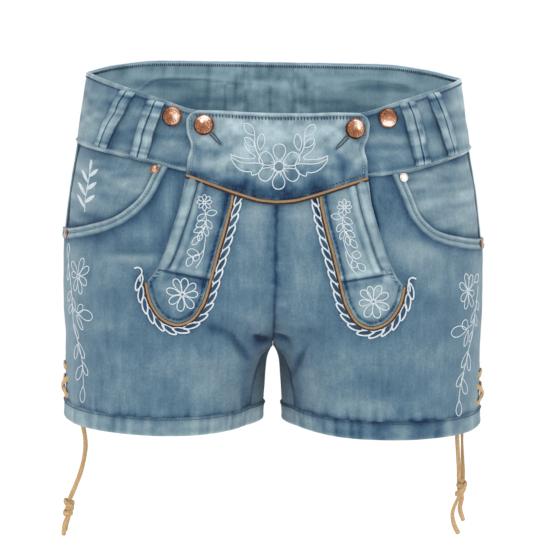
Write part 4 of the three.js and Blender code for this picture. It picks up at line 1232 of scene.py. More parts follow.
def panel_wash(side, s, x, z, base):
    value = base + patches(side, s, x, z) + crease_wear_and_shade(side, s, x, z)
    hem = z - hem_seam(s)
    ripple = puckers(x * HEM_GATHER, hem, 40 + side, 9)
    # Puckers by the hem, and painted shade along its seam.
    value += 0.18 * ripple - (0.3 + 0.08 * side) * bump(hem, 3.0) * (0.7 + 0.5 * noise1(x / 9, 5 + side))
    value += 0.05 * noise2(side * x / 18 + 9, z / 13, 21) + 0.03 * noise2(side * x / 6, z / 6, 22)
    value += 0.035 * noise2(side * x / 2.6, z / 21, 23)
    # Painted shade just under the waistband.
    value -= 0.24 * fade(band_seam(side, s) - z, 2.6)
    return value


def front_grid(side):
    """s and z of a front panel's rows, which run from the centre seam to the pocket's edge or the side."""
    def above(u):
        s, z = scoop_point(side, u)
        return z - band_seam(side, s) + BAND_GAP
    start_u = float(solve(above, 0.0, 95, 115))
    end_z = float(scoop_z(side, POCKET_END_U))
    us = np.array([start_u, *SCOOP_ROWS, POCKET_END_U])
    zs = np.array([end_z, *SIDE_ROWS, float(panel_bottom(SIDE))])
    centres = np.array([float(panel_top(side, 0.0)), *CENTRE_ROWS, *LEG_ROWS, float(panel_bottom(0.0))])
    corner = len(us) - 1
    last = corner - 1
    edge = [math.hypot(step, SCOOP_ROW_DROP) for step in np.diff(us)] + [*np.abs(np.diff(zs))]
    spacing, columns = GRID["front"]
    r = dense(np.maximum(np.abs(np.diff(centres)), edge), spacing)
    centre = np.interp(r, np.arange(len(centres)), centres)
    s_scoop, z_scoop = scoop_point(side, np.interp(r, np.arange(len(us)), us))
    z_side = np.interp(r, np.arange(corner, corner + len(zs)), zs)
    s_side = side_seam(z_side) - seam_share(z_side)
    s_before = float(scoop_point(side, SCOOP_ROWS[-1])[0])
    s_end = float(side_seam(end_z) - seam_share(end_z))
    s_scoop = np.where(r > last, lerp(s_before, s_end, np.clip(r - last, 0, 1)), s_scoop)
    end_s = np.where(r <= corner, s_scoop, s_side)
    end_z = np.where(r <= corner, z_scoop, z_side)
    first = np.where(centre <= CROTCH_Z, OFF_SEAM, 0.0)
    return panel_rows(side, np.linspace(0, 1, columns) ** 0.93, first, end_s,
                      share_down(side, 0.0, centre), share_down(side, end_s, end_z), 0.0)


def seam_dips(side, s, z, x, front):
    """How far a panel sinks at its seams, and its puckers there."""
    scale = stretch(s, z)
    centre = (s if front else 1 - s) * scale
    beside = np.abs(s - side_seam(z)) * scale - column(SLIT, "half", z)
    hem = z - hem_seam(s)
    lift = -0.55 * bump(centre, 1.3) - 0.5 * bump(beside, 1.2) - 0.5 * bump(hem, 1.4)
    lift += 0.16 * puckers(z, centre, 51 + side, 6) + 0.14 * puckers(z, beside, 53 + side, 6)
    lift += 0.3 * puckers(x * HEM_GATHER, hem, 40 + side, 8)
    lift += 0.35 * bump(beside - 3.5, 2.5) * (z < -243)
    wash = -0.26 * bump(centre, 1.8) - 0.12 * bump(centre, 7) - 0.2 * bump(beside, 1.6)
    wash += 0.10 * puckers(z, centre, 51 + side, 6) + 0.08 * puckers(z, beside, 53 + side, 6)
    return lift, wash


def panel_lift(side, s, z, x, front):
    lift, _ = seam_dips(side, s, z, x, front)
    return lift + 0.22 * noise2(side * x / 26, z / 17, 61) + 0.10 * noise2(side * x / 9, z / 6, 62)


CLOSED_REACH = 7.0


def closed_up(points, side, edge):
    """Points of a panel with its centre seam, the column edge, drawn up to the middle above the crotch."""
    seam = points[:, edge].copy()
    turn = np.radians(column(SECTIONS, "turn", seam[:, 2]))
    middle = LEAN * seam[:, 2] - seam[:, 1] * np.sin(turn) + side * SEAM_GAP / 2
    shift = (middle - seam[:, 0]) * smooth(CROTCH_Z, CROTCH_Z + 9, seam[:, 2])
    away = np.linalg.norm(points - seam[:, None], axis=-1)
    points[..., 0] += shift[:, None] * bump(away, CLOSED_REACH)
    return points


POCKET_US = np.arange(96, POCKET_END_U, 2.0)


def front_wear_and_shade(wash, side, s, x, z):
    """Darker by the tab and braid, partly painted shade; painted shade under the pocket and inside leg."""
    # Darker along the braid and the tab's outer edge: indigo held by the seams, and painted shade.
    edge, _ = near_line(x, z, DARK_EDGE)
    wash -= 0.17 * fade(edge - 2, 6.5)
    # On the left half, a dark line by the tab's outer edge: painted shade in the slit there.
    if side > 0:
        wash -= 0.45 * bump(edge - 0.5, 2.0) * smooth(-128, -116, z)
    # Painted shade under the pocket's binding.
    below, _ = near_line(x, z, np.stack([POCKET_US, scoop_z(side, POCKET_US)], -1))
    wash -= 0.3 * fade(below - POCKET_BINDING, 6)
    # Painted shade inside the braid's loops.
    braid, _ = near_line(x, z, BRAID_PATH)
    wash -= 0.14 * bump(braid, 3.2)
    wash += 0.16 * smooth(156, 175, x) + (0.08 if side > 0 else 0) * bump(below - 16, 8)
    # Painted shade down the inside leg, and the inseam's dark line.
    inseam = s * stretch(s, z)
    low_leg = smooth(-226, -238, z)
    wash -= (0.2 * fade(inseam, 9) + 0.12 * bump(inseam - 11, 1.4)) * low_leg
    wash += 0.12 * puckers(z, inseam - 11, 55 + side, 7, 4) * low_leg


def back_paler_parts(wash, side, s, x, z):
    """Paler at the inside leg and down the side."""
    wash += 0.1 * smooth(0.905, 0.95, s) * smooth(-226, -236, z) + 0.14 * smooth(156, 175, x)
    wash += 0.14 * smooth(146, 172, x) * smooth(-168, -138, z)


BACK_CENTRE_ROWS = [-78, -100, -125, -150, -172, -190, -205, -217, -226, -230.8, -232]
BACK_SIDE_ROWS = [-72, -85, -98, -111, -124, -137, -146, *SIDE_ROWS]


def back_grid(side):
    """s and z of a back panel's rows, which run from the side to the centre seam."""
    centres = np.array([float(panel_top(side, 1.0)), *BACK_CENTRE_ROWS, *LEG_ROWS, float(panel_bottom(1.0))])
    sides = np.array([float(panel_top(side, PAST_SIDE)), *BACK_SIDE_ROWS, float(panel_bottom(PAST_SIDE))])
    spacing, columns = GRID["back"]
    r = dense(np.maximum(np.abs(np.diff(centres)), np.abs(np.diff(sides))), spacing)
    centre = np.interp(r, np.arange(len(centres)), centres)
    z_side = np.interp(r, np.arange(len(sides)), sides)
    last = np.where(centre <= CROTCH_Z, 1 - OFF_SEAM, 1.0)
    return panel_rows(side, np.linspace(0, 1, columns), side_seam(z_side) + seam_share(z_side), last,
                      share_down(side, PAST_SIDE, z_side), share_down(side, 1.0, centre), PAST_SIDE)


# Each panel: its face, grid, added marks, the column of its centre seam, its wash and its inside's.
PANELS = [("front", front_grid, front_wear_and_shade, 0, 0.48, None), ("back", back_grid, back_paler_parts, -1, 0.5, 0.42)]
for face, places, tone_marks, seam_column, base, inside in PANELS:
    for label, side in HALVES:
        front = face == "front"
        s, z = places(side)
        there = s if front else np.maximum(s, PAST_SIDE)
        x = plain(s, z).real
        lift = panel_lift(side, there, z, x, front)
        points = [closed_up(grid, side, seam_column) for grid in layered("panel", side, s, z, lift, lift)]
        wash = panel_wash(side, there, x, z, base) + seam_dips(side, there, z, x, front)[1]
        tone_marks(wash, side, s, x, z)
        sewn(f"{face}_cloth_{label}", f"{face}_panel_{label}", face, "hung", ("waistband",), points, wash,
             DENIM, "denim", inside=inside, grain=grain_of(side, there, x))


# ---------------------------------------------------------------- hip pockets
FACING_REACH = 13
FACING_LEVEL = -110
FACING_START = (90.0, -75.0)
BINDING_END_S = 0.4985
BINDING_LENGTH = 118
BINDING_FOLLOWS = 0.7
BINDING_SUNK = 0.5


def beside_scoop(side, u, away):
    """A place beside the pocket's edge, away millimetres down onto the front panel."""
    a = scoop_point(side, u - 0.5)
    b = scoop_point(side, np.minimum(u + 0.5, POCKET_END_U))
    s, z = scoop_point(side, u)
    scale = stretch(s, z)
    along_s = (b[0] - a[0]) * scale
    along_z = b[1] - a[1]
    length = np.hypot(along_s, along_z)
    return np.minimum(s + away * along_z / length / scale, BINDING_END_S), z - away * along_s / length


for label, side in HALVES:
    start = float(front_s(*FACING_START))
    s = np.linspace(start, SIDE - float(seam_share(FACING_LEVEL)), GRID["facing"][1])[None]
    u = plain(s, FACING_LEVEL).real
    top = panel_top(side, s)
    z = lerp(top, scoop_z(side, u) - FACING_REACH, grid_shares("facing")[0])
    s = np.broadcast_to(s, z.shape)
    x = plain(s, z).real
    over = z - scoop_z(side, x)
    lift = 0.5 * noise2(side * x / 24, z / 15, 71) + 0.25 * noise2(side * x / 9, z / 7, 72)
    lift += 1.2 * smooth(0, 26, over) * smooth(0, 16, top - z) - 0.6 * bump(z - top, 2)
    # Painted shadow just above the binding and just under the waistband.
    wash = 0.66 - 0.28 * bump(over, 5) - 0.16 * bump(z - top, 4) + 0.10 * noise2(side * x / 18, z / 7, 73)
    wash += 0.09 * bump(z + 96, 10) - 0.08 * bump(x - 150, 8) - (0.07 if side < 0 else 0)
    wash += 0.14 * noise2(side * x / 26, z / 4.6, 75) + 0.08 * noise2(side * x / 8, z / 3.4, 76)
    wash -= 0.2 * fade(top - z, 2.2) + 0.16 * bump(over - 1, 3)
    sewn(f"facing_{label}", f"pocket_facing_{label}", "facing", "laid", (f"front_panel_{label}",),
         layered("facing", side, s, z, lift, lift), wash, DENIM, "pocket_denim", inside=0.5)

BINDING_PROFILE = table("away lift", (0, -0.5), (0.7, 0.35), (1.7, 0.6), (2.8, 0.25), (3.5, -0.35),
                        (4.3, -0.2), (5.4, 0.35), (6.8, 0.55), (8.0, 0.25), (9.0, -0.5))
# Across the binding: paler ridges, painted shade in the groove between them and along its lower edge.
BINDING_WASH_AND_SHADE = table("away value", (0, 0.72), (1.5, 0.88), (2.8, 0.7), (3.6, 0.42), (4.6, 0.6),
                     (6.2, 0.78), (8.0, 0.62), (9.0, 0.36))
for label, side in HALVES:
    t, _ = grid_shares("binding")
    away = np.linspace(0, POCKET_BINDING, GRID["binding"][1])

    def over_band(u):
        s, z = beside_scoop(side, u, away)
        return z - band_seam(side, s) + BAND_GAP
    start = solve(over_band, np.zeros(len(away)), 92, 125)
    u = lerp(start[None], POCKET_END_U, t)
    s, z = beside_scoop(side, u, np.broadcast_to(away, u.shape))
    x = plain(s, z).real
    along = np.broadcast_to(t * BINDING_LENGTH, u.shape)
    lift = column(BINDING_PROFILE, "lift", away)[None] + 0.16 * noise1(along / 5, 81 + side)
    lift += panel_lift(side, s, z, x, True) * BINDING_FOLLOWS
    points = layered("binding", side, s, z, lift - BINDING_SUNK, lift * 0.3 - 0.4)
    wash = column(BINDING_WASH_AND_SHADE, "value", away)[None] + 0.07 * noise1(along / 4, 83 + side)
    # Painted shade at its end under the waistband.
    wash += 0.05 * noise2(along / 9, away[None] / 3, 84) - 0.1 * bump(along, 6)
    sewn(f"binding_{label}", f"pocket_binding_{label}", "binding", "laid",
         (f"front_panel_{label}", f"pocket_facing_{label}"), points, wash, TRIM, "light_denim", inside=0.4)


# ---------------------------------------------------------------- waistband
BAND_ROUND = 270
BAND_SUNK = 0.3


def band_relief(side, s, z):
    top = band_top(s) - z
    low = z - band_seam(side, s)
    along = s * BAND_ROUND
    seed = 91 + side
    lift = 0.45 * bump(top - 1.4, 1.6) - 0.4 * bump(top - 3.8, 1.1) + 0.4 * bump(low - 1.8, 1.7)
    lift += -0.35 * bump(low - 4.2, 1.2) - 0.4 * bump(low, 0.7)
    lift += 0.26 * puckers(along, top - 3, seed, 6, 3.4) + 0.26 * puckers(along, low - 3, seed + 4, 7, 3.6)
    lift += 0.5 * noise2(along / 30, z / 16, seed + 7) + 0.22 * noise2(along / 11, z / 9, seed + 8)
    return lift


def band_wash(side, s, z):
    top = band_top(s) - z
    low = z - band_seam(side, s)
    along = s * BAND_ROUND
    seed = 91 + side
    # The rolled edges rub paler; the grooves beside them are darker, painted shade.
    value = 0.56 + 0.3 * bump(top - 1.0, 1.4) - 0.14 * bump(top - 3.6, 1.3) + 0.26 * bump(low - 1.6, 1.4)
    value += -0.16 * bump(low - 4.4, 2.0) + 0.12 * puckers(along, top - 3, seed, 7, 3.4)
    value += 0.14 * puckers(along, low - 3, seed + 4, 9, 3.6)
    value += 0.22 * noise2(along / 17, z / 8, seed + 9) + 0.12 * noise2(along / 6, z / 5, seed + 10)
    x = plain(s, z).real
    front = s < SIDE
    # Painted shadow on the front beside each belt loop.
    for _, half, top_u, top_z, bottom_u, bottom_z in BELT_LOOPS:
        if half == side:
            middle = np.interp(-z, [-top_z, -bottom_z], [top_u, bottom_u])
            beside = np.abs(x - middle) - 6.6
            value -= np.where(front, 0.24 * fade(np.abs(beside), 3.4), 0)
    # Painted shadow under and beside the flap.
    value -= np.where(front, 0.16 * fade(x - 74, 5) - 0.02 * smooth(132, 100, x), 0)
    at_side = 0.15 if side < 0 else 0.26
    value += np.where(front, at_side * smooth(138, 152, x), 0.04 + (at_side - 0.04) * smooth(132, 158, x))
    value -= 0.05 * (side > 0) * front * bump(x - 96, 26) * bump(z + 48, 26)
    return value


# The seam inside the waistband: its drop below the top edge and how plainly it shows, on each half.
INSIDE_SEAM = {
    -1: table("u drop show", (0, 20, 0.2), (30, 18.5, 0.5), (60, 15.8, 1), (85, 15.2, 1), (103, 17, 1),
              (112, 23, 0.9), (121, 31, 0.7), (136, 48, 0.6), (170, 58, 0.6)),
    1: table("u drop show", (0, 22, 0.2), (40, 20, 0.15), (67, 17.3, 0.3), (85, 13.6, 0.55),
             (103, 14.8, 0.55), (125, 18.5, 0.4), (136, 30, 0.4), (170, 58, 0.4)),
}
# Upright marks inside it: half, x, only below which drop, and how dark.
INSIDE_UPRIGHTS = [(-1, 55, 1, 0.24), (-1, 40, 20, 0.2), (1, 20, 2, 0.06), (1, 62, 22, 0.08)]


def around_band(count):
    """Places once round the waist: the half and the s of each."""
    t = np.linspace(0, 1, count)
    t = lerp(t, smooth(0, 1, t), 0.15)
    return np.concatenate((np.full(count, 1), np.full(count - 2, -1))), np.concatenate((t, t[::-1][1:-1]))


band_rows, band_columns = GRID["band"]
sides, around = around_band(band_columns)
rows = np.linspace(0, 1, band_rows) ** 0.96
outer = np.zeros((len(rows), len(around), 3))
inner = np.zeros_like(outer)
wash = np.zeros(outer.shape[:2])
wash_in = np.zeros(outer.shape[:2])
for label, side in HALVES:
    mine = np.nonzero(sides == side)[0]
    s = around[mine][None]
    z = lerp(band_top(s), band_seam(side, s), rows[:, None])
    s = np.broadcast_to(s, z.shape)
    lift = band_relief(side, s, z)
    u = plain(s, z).real
    drop = band_top(s) - z
    back = smooth(0.5, 0.62, s)
    seam = drop - column(INSIDE_SEAM[side], "drop", u)
    show = column(INSIDE_SEAM[side], "show", u)
    waves = noise1(s * 44, 97 + side)
    dent = show * (0.6 * bump(seam, 0.9) - 0.35 * bump(seam - 2.5, 1.6)) + 0.3 * bump(drop - 3.4, 0.8)
    gather = waves * smooth(4, 14, drop) * 0.3 + 0.25 * noise2(s * 20, z / 12, 98)
    outer[:, mine], inner[:, mine] = layered("waistband", side, s, z, lift - BAND_SUNK, dent * back + gather)
    wash[:, mine] = band_wash(side, s, z)
    # The inside is painted pale, painted light where it lies in shade; painted shade below its seam.
    seam_look = 0.12 * bump(seam + 2.2, 1.3) - 0.34 * bump(seam, 1.2) - 0.08 * smooth(0, 1.2, seam)
    inside = 1.0 + show * seam_look
    inside += 0.12 * bump(drop - 1, 1.4) - 0.1 * bump(drop - 3.6, 1.0) - 0.12 * smooth(-2, 12, seam)
    for half, upright, below, dark in INSIDE_UPRIGHTS:
        if half == side:
            mark = bump(u - upright, 1.2) - 0.4 * bump(u - upright + 3, 1.4)
            inside -= dark * mark * (drop > below) * back
    inside += 0.05 * waves + 0.2 * noise2(s * 12, z / 7, 99) + 0.12 * noise2(s * 34, z / 4, 96)
    if side < 0:
        combed = bump(u - 96, 34) * smooth(17, 8, drop) * smooth(2, 5, drop) * back
        inside += 0.17 * noise1(s * 110, 95) * combed
    inside += 0.1 * noise2(s * 60, z / 14, 100) - 0.05
    inside -= 0.25 * bump((1 - s) * 260, 1.1) * (drop > 20)
    wash_in[:, mine] = inside
sewn("waistband_cloth", "waistband", "band", "hung", (), (outer, inner), wash, DENIM, "denim", closed=True,
     inside=wash_in + BLUER, edge=0.16)


# ---------------------------------------------------------------- hems
HEM_ROUND = 400


def hem_relief(side, s, z):
    top = hem_seam(s) - z
    low = z - hem_edge(s)
    along = s * HEM_ROUND
    lift = 0.35 * bump(top - 2.4, 2.0) - 0.5 * bump(top, 0.8) + 0.3 * bump(low - 1.5, 1.6)
    lift += 0.34 * noise1(along / 4.2, 101 + side) * bump(top - 5, 9) + 0.4 * noise1(along / 13, 103 + side)
    lift -= 0.55 * bump((s - 0.465) * HEM_ROUND, 1.5) + 0.3 * bump((s - 0.44) * HEM_ROUND, 1.5)
    return lift


for label, side in HALVES:
    share, s = grid_shares("hem")
    s = s[:, :-1]
    z = lerp(hem_seam(s), hem_edge(s), share)
    s = np.broadcast_to(s, z.shape)
    lift = hem_relief(side, s, z)
    top = hem_seam(s) - z
    stripes = noise1(s * HEM_ROUND / 3.6, 101 + side) + 0.8 * noise1(s * HEM_ROUND / 9, 105 + side)
    # Darker at its top seam, painted shade, and paler along its folded edge, rubbed.
    wash = 0.68 + 0.14 * stripes - 0.3 * bump(top, 1.5) + 0.12 * bump(hem_edge(s) - z, 1.2)
    wash += 0.08 * noise2(s * 60, z / 5, 107) - 0.08 * bump(top - 3, 2.0) - (0.24 if side > 0 else 0.04)
    u = plain(s, z).real
    wash += (0.26 if side > 0 else 0.1) * (smooth(58, 22, u) + smooth(128, 160, u))
    sewn(f"hem_cloth_{label}", f"hem_{label}", "hem", "folded",
         (f"front_panel_{label}", f"back_panel_{label}"), layered("hem", side, s, z, lift, lift * 0.5), wash,
         DENIM, "denim", closed=True, inside=wash - 0.08)


# ---------------------------------------------------------------- flap
ROPE_PITCH = 2.9
KEYHOLES = [((-60.6, -39.6), (-47.3, -54.6)), ((63, -40.7), (47.9, -57))]
# Dark and light spots of its wash: x, z, half width, half height.
FLAP_DARK = [(-56, -80, 16, 6), (-30, -88, 12, 8), (2, -95, 22, 6), (34, -88, 14, 10), (58, -70, 10, 12),
             (46, -62, 8, 6), (-64, -66, 8, 10), (66, -48, 6, 10), (-66, -42, 6, 8), (-52, -62, 10, 4)]
FLAP_LIGHT = [(-40, -40, 22, 6), (0, -42, 24, 6), (38, -42, 20, 6), (-58, -52, 8, 7), (52, -60, 8, 9),
              (-8, -82, 9, 7), (18, -86, 8, 5), (-46, -68, 12, 5), (66, -74, 5, 9), (-24, -74, 8, 6)]


def rope(u):
    """Ridges of the cloth between the stitches along the flap's top."""
    return np.cos(2 * math.pi * (u + 68) / ROPE_PITCH + 0.5 * noise1(u / 5, 111) + math.pi)


def flap_edge(u, z):
    """Distances in from the flap's top, its sides and its bottom."""
    share = np.clip((flap_top(u) - z) / (flap_top(u) - flap_bottom(u)), 0, 1)
    return flap_top(u) - z, column(FLAP_WIDTH, "half", share) - np.abs(u), z - flap_bottom(u)


def flap_lift(u, z):
    top, beside, low = flap_edge(u, z)
    near = np.minimum(top, beside)
    lift = 0.45 * bump(near - 1.2, 1.3) - 0.45 * bump(near - 3.1, 1.0) - 0.7 * bump(near, 0.6)
    lift += 0.3 * rope(u) * bump(top - 4.2, 1.8) + 0.16 * puckers(u, top - 5, 112, 6, 4)
    lift += 0.22 * puckers(z, beside - 3, 113, 6, 4) + 0.3 * noise1(u / 3.2, 114) * bump(low - 1.5, 4)
    lift += -0.5 * bump(low - 0.4, 0.8) + 0.55 * noise2(u / 22, z / 13, 115) + 0.2 * noise2(u / 8, z / 7, 116)
    for hole in KEYHOLES:
        away, _ = near_line(u, z, hole)
        lift = lift - 0.8 * bump(away, 0.8)
    return lift


def flap_place(u, z, out):
    return on_front(u, z, LAYERS["flap"][1] + flap_lift(u, z) + out)


share, _ = grid_shares("flap")
across = np.linspace(-1, 1, GRID["flap"][1])[None]
u = across * column(FLAP_WIDTH, "half", share)
z = lerp(flap_top(u), flap_bottom(u), share)
lift = flap_lift(u, z)
top, beside, low = flap_edge(u, z)
near = np.minimum(top, beside)
# Paler on the rolled edge, and darker in the groove inside it: painted shade.
wash = 0.77 - 0.34 * smooth(-62, -92, z) + 0.22 * bump(near - 1.0, 1.4) - 0.2 * bump(near - 3.2, 1.2)
wash -= 0.15 * fade(low, 5) * (0.8 + 0.4 * noise1(u / 6, 121))
wash += 0.17 * noise2(u / 13, z / 8, 122) + 0.13 * noise2(u / 5, z / 4.5, 123)
wash += 0.08 * spot(u, z, 0, -60, 46, 14)
wash += 0.1 * noise2(u / 3.2, z / 15, 124) * smooth(-56, -72, z)
# The rope's ridges paler and the dips between them darker: painted shade.
wash += 0.14 * puckers(u, low, 114, 7, 3.2) + 0.22 * rope(u) * bump(top - 4.4, 2.0)
for place in FLAP_DARK:
    wash -= 0.27 * spot(u, z, *place)
for place in FLAP_LIGHT:
    wash += 0.17 * spot(u, z, *place)
# Painted shade in and round each buttonhole's slit.
for hole in KEYHOLES:
    away, _ = near_line(u, z, hole)
    wash -= 0.3 * bump(away, 1.6) + 0.1 * bump(away, 5)
points = on_front(u, z, LAYERS["flap"][1] + lift)[0], on_front(u, z, LAYERS["flap"][0] + lift * 0.4)[0]
sewn("flap_cloth", "flap", "flap", "hung", ("waistband",), points, wash, TRIM, "light_denim", inside=0.5,
     edge=0.14)


# ---------------------------------------------------------------- tabs
TAB_SEAM_Z = -160
TAB_SEAM_SLOPE = 0.17
TAB_SEAM_OUT = 90
TAB_UNDER_FLAP = 8
TAB_SHOWS_Z = -103
TAB_LAST_ROW = 11
TAB_CORNER_ROW = 6
TAB_MIDDLE = (74, -140)


def tab_edges(row):
    return column(TAB, "z", row), column(TAB, "inner", row), column(TAB, "outer", row)


TAB_Z, TAB_INNER, TAB_OUTER = tab_edges(np.linspace(0, TAB_LAST_ROW, 300))
# The edge that shows a rolled rim: up the outer side it ends where the pleat covers it.
TAB_OUTLINE = np.concatenate((np.stack([TAB_OUTER, TAB_Z], -1)[90:], np.stack([TAB_INNER, TAB_Z], -1)[::-1]))


def tab_rim():
    """A tab's edge from its outer corner round its foot and up its inner side, and the way out along it."""
    down = [*zip(TAB["outer"], TAB["z"])][TAB_CORNER_ROW:]
    up = [*zip(TAB["inner"], TAB["z"])][:0:-1]
    rim = smoothed(down + up, 240)
    away = outward_of(rim)
    return rim, away * np.sign(np.sum(away * (rim - TAB_MIDDLE), axis=1).mean())


TAB_RIM, TAB_AWAY = tab_rim()


def tab_outer(z):
    return np.interp(-z, -TAB_Z, TAB_OUTER)


def tab_relief(side, u, z):
    """Lift and wash of a tab: its folded ridges, its cross seam and its rolled edge, with painted shade in
    its grooves and under the flap.
    """
    outer_u = tab_outer(z)
    inner_u = np.interp(-z, -TAB_Z, TAB_INNER)
    rim, round_rim = near_line(u, z, TAB_OUTLINE, 0.4)
    rim = np.where((u > outer_u) | (u < inner_u), 0, rim)
    fold = outer_u - u
    seam = z - TAB_SEAM_Z + TAB_SEAM_SLOPE * (TAB_SEAM_OUT - u)
    strong = 1.0 if side > 0 else 0.75
    above = smooth(0, 4, seam)
    lift = -0.45 * bump(rim, 0.8) + 0.25 * bump(rim - 1.3, 0.9) - 0.3 * bump(rim - 2.6, 0.9)
    lift += above * (0.9 * bump(fold - 12.6, 2.6) - 0.7 * bump(fold - 9.2, 0.9)
                     - 0.4 * bump(fold - 16.8, 1.2))
    lift += 0.8 * bump(fold - 2.4, 2.2) * smooth(2, -1, seam) * smooth(-12, -7, seam)
    lift += 1.1 * strong * bump(seam - 3.5, 2.4) * smooth(8, 14, fold)
    lift -= 0.9 * bump(seam + 0.6, 1.0) * smooth(2, 8, fold)
    lift += 0.4 * noise1(u / 3.0, 131 + side) * bump(seam, 7) + 0.3 * noise2(u / 12, z / 14, 132 + side)
    # Paler on the rolled rim and darker in the groove inside it: painted shade.
    wash = 0.76 - 0.3 * bump(rim - 2.6, 1.6) - 0.12 * bump(rim - 4, 5) + 0.16 * bump(rim, 1.2)
    # Paler on the folded ridges and darker in the grooves between them: painted shade.
    wash += above * (0.16 * bump(fold - 12.6, 2.2) - 0.34 * bump(fold - 9.2, 1.1)
                     - 0.16 * bump(fold - 16.8, 1.6))
    wash += 0.24 * strong * bump(seam - 3.6, 2.4) * smooth(8, 14, fold)
    # Painted shade in the cross seam's groove and below it.
    wash -= 0.5 * bump(seam + 0.8, 1.1) * smooth(2, 8, fold)
    wash += 0.14 * noise1(u / 3.0, 131 + side) * bump(seam + 1, 8)
    wash -= 0.2 * bump(seam + 5, 4) * smooth(6, 16, fold)
    wash += 0.12 * noise2(u / 10, z / 9, 134 + side) + 0.09 * noise2(u / 4, z / 5, 136 + side)
    wash += 0.16 * np.sign(noise1(round_rim / 0.9, 138)) * bump(rim - 2.4, 1.0)
    wash -= 0.18 if side < 0 else 0.01
    # Painted shadow under the flap, and darker by the inner edge.
    wash -= 0.2 * fade(flap_bottom(u) - 3 - z, 6) + 0.12 * bump(u - inner_u - 4, 4) * above
    return lift, wash


def tab_place(side, u, z, out):
    lift, _ = tab_relief(side, u, z)
    return form(side, front_s(u, z), z, LAYERS["tab"][1] + lift + out)


for label, side in HALVES:
    row = np.linspace(0, TAB_LAST_ROW, GRID["tab"][0])
    z, a, b = tab_edges(row)
    row = row[:, None]
    u = lerp(a[:, None], b[:, None], grid_shares("tab")[1])
    z = np.where(row < 1, lerp(flap_bottom(u) + TAB_UNDER_FLAP, TAB_SHOWS_Z, row), z[:, None])
    lift, wash = tab_relief(side, u, z)
    sewn(f"tab_cloth_{label}", f"tab_{label}", "tab", "laid", (f"front_panel_{label}",),
         layered("tab", side, front_s(u, z), z, lift, lift * 0.3), wash, TRIM, "light_denim", inside=0.4)

# A folded pleat down each tab's outer edge, from under the flap to the cross seam.
PLEAT_WIDTH = 8.5
PLEAT_NARROWS = 0.12
PLEAT_INSET = 0.6
PLEAT_START = 2
PLEAT_LENGTH = 70
for label, side in HALVES:
    share, across = grid_shares("pleat")
    edge_top = column(TAB, "outer", 0.0) - PLEAT_INSET - across * PLEAT_WIDTH
    z = lerp(flap_bottom(edge_top) - PLEAT_START, TAB_SEAM_Z + 1.0, share)
    u = tab_outer(z) - PLEAT_INSET - across * PLEAT_WIDTH * (1 - PLEAT_NARROWS * share)
    wave = 0.35 * noise1(z / 9, 141 + side) + 0.25 * noise1(z / 4, 143 + side) * across
    profile = 0.9 * np.sin(math.pi * across) ** 0.6 - 0.6
    start = share * PLEAT_LENGTH
    end = (1 - share) * PLEAT_LENGTH
    lift = profile + wave - (0.5 * bump(start, 4) + 0.9 * bump(end, 5))
    # Darker along both edges and towards its ends: painted shade.
    wash = 0.82 - 0.2 * bump(across, 0.16) - 0.26 * bump(1 - across, 0.16) + 0.1 * noise1(z / 4, 143 + side)
    wash += 0.1 * noise2(u / 4, z / 7, 145) - 0.22 * bump(end, 5) - 0.2 * bump(start, 6)
    sewn(f"pleat_{label}", f"tab_pleat_{label}", "pleat", "folded", (f"tab_{label}",),
         layered("pleat", side, front_s(u, z), z, lift, -0.2), wash, TRIM, "light_denim", inside=0.4)


# ---------------------------------------------------------------- belt loops
LOOP_WIDTH = 15
LOOP_HEIGHT = 49
BACK_LOOP_HEIGHT = 56
LOOP_LEVEL = -40
LOOP_TILT = 0.6
LOOP_ARCH = 1.4
LOOP_GROOVE = 0.04
LOOP_SEED = 151
BACK_LOOP_S = 0.97


def loop_cloth(name, height, place, seed):
    """A belt loop of two folded strips; place gives points for a share down, millimetres across and out."""
    share, _ = grid_shares("loop")
    across = np.linspace(-0.5, 0.5, GRID["loop"][1])[None]
    edge = 0.5 - np.abs(across)
    groove = across - LOOP_GROOVE - 0.03 * noise1(share * 5, seed)
    ends = np.minimum(share, 1 - share) * height
    arch = LOOP_ARCH * np.sin(math.pi * share) ** 0.7
    lift = 0.6 * smooth(0, 0.16, edge) + 0.3 * bump(groove - 0.075, 0.04) - 1.0 * bump(groove, 0.035)
    lift += 0.3 * noise2(share * 5, across * 3 + seed, seed) - 0.8 * bump(ends, 1.6)
    lift += arch - 0.4 * bump(ends - 4.5, 1.3) - 0.2
    sway = across * LOOP_WIDTH + 0.9 * noise1(share * 5.2 + 3, seed + 1) * smooth(0, 12, ends)
    # Paler on the ridges; darker in the middle groove, at the edges and near the ends: painted shade.
    wash = 0.74 + 0.24 * bump(groove - 0.075, 0.03) - 0.66 * bump(groove, 0.045)
    wash += 0.12 * bump(edge - 0.03, 0.03) - 0.36 * bump(edge, 0.04) - 0.16 * bump(np.abs(edge - 0.1), 0.04)
    wash = wash + 0.2 * noise2(share * 8, across * 4, seed + 2) + 0.16 * noise1(share * 17, seed + 3)
    wash += 0.1 * bump(ends - 1.2, 1.6) - 0.3 * bump(ends - 4.5, 1.6)
    low, high = LAYERS["loop"]
    points = place(share, sway, high - 0.6 + lift), place(share, sway, low - 0.3 + arch)
    sewn(name + "_cloth", name, "loop", "laid", ("waistband",), points, wash, TRIM, "light_denim", inside=0.4)


def front_loop(side, top_u, top_z, bottom_u, bottom_z):
    """The place function of a loop that slants from one point of the front to another."""
    def place(share, sway, out):
        middle = front_s(lerp(top_u, bottom_u, share), lerp(top_z, bottom_z, share))
        slope = (band_top(middle + 0.001) - band_top(middle - 0.001)) / 0.002
        shift = sway / stretch(middle, LOOP_LEVEL)
        z = lerp(top_z, bottom_z, share) + shift * slope * LOOP_TILT
        return form(side, middle + shift, z, out)[0]
    return place


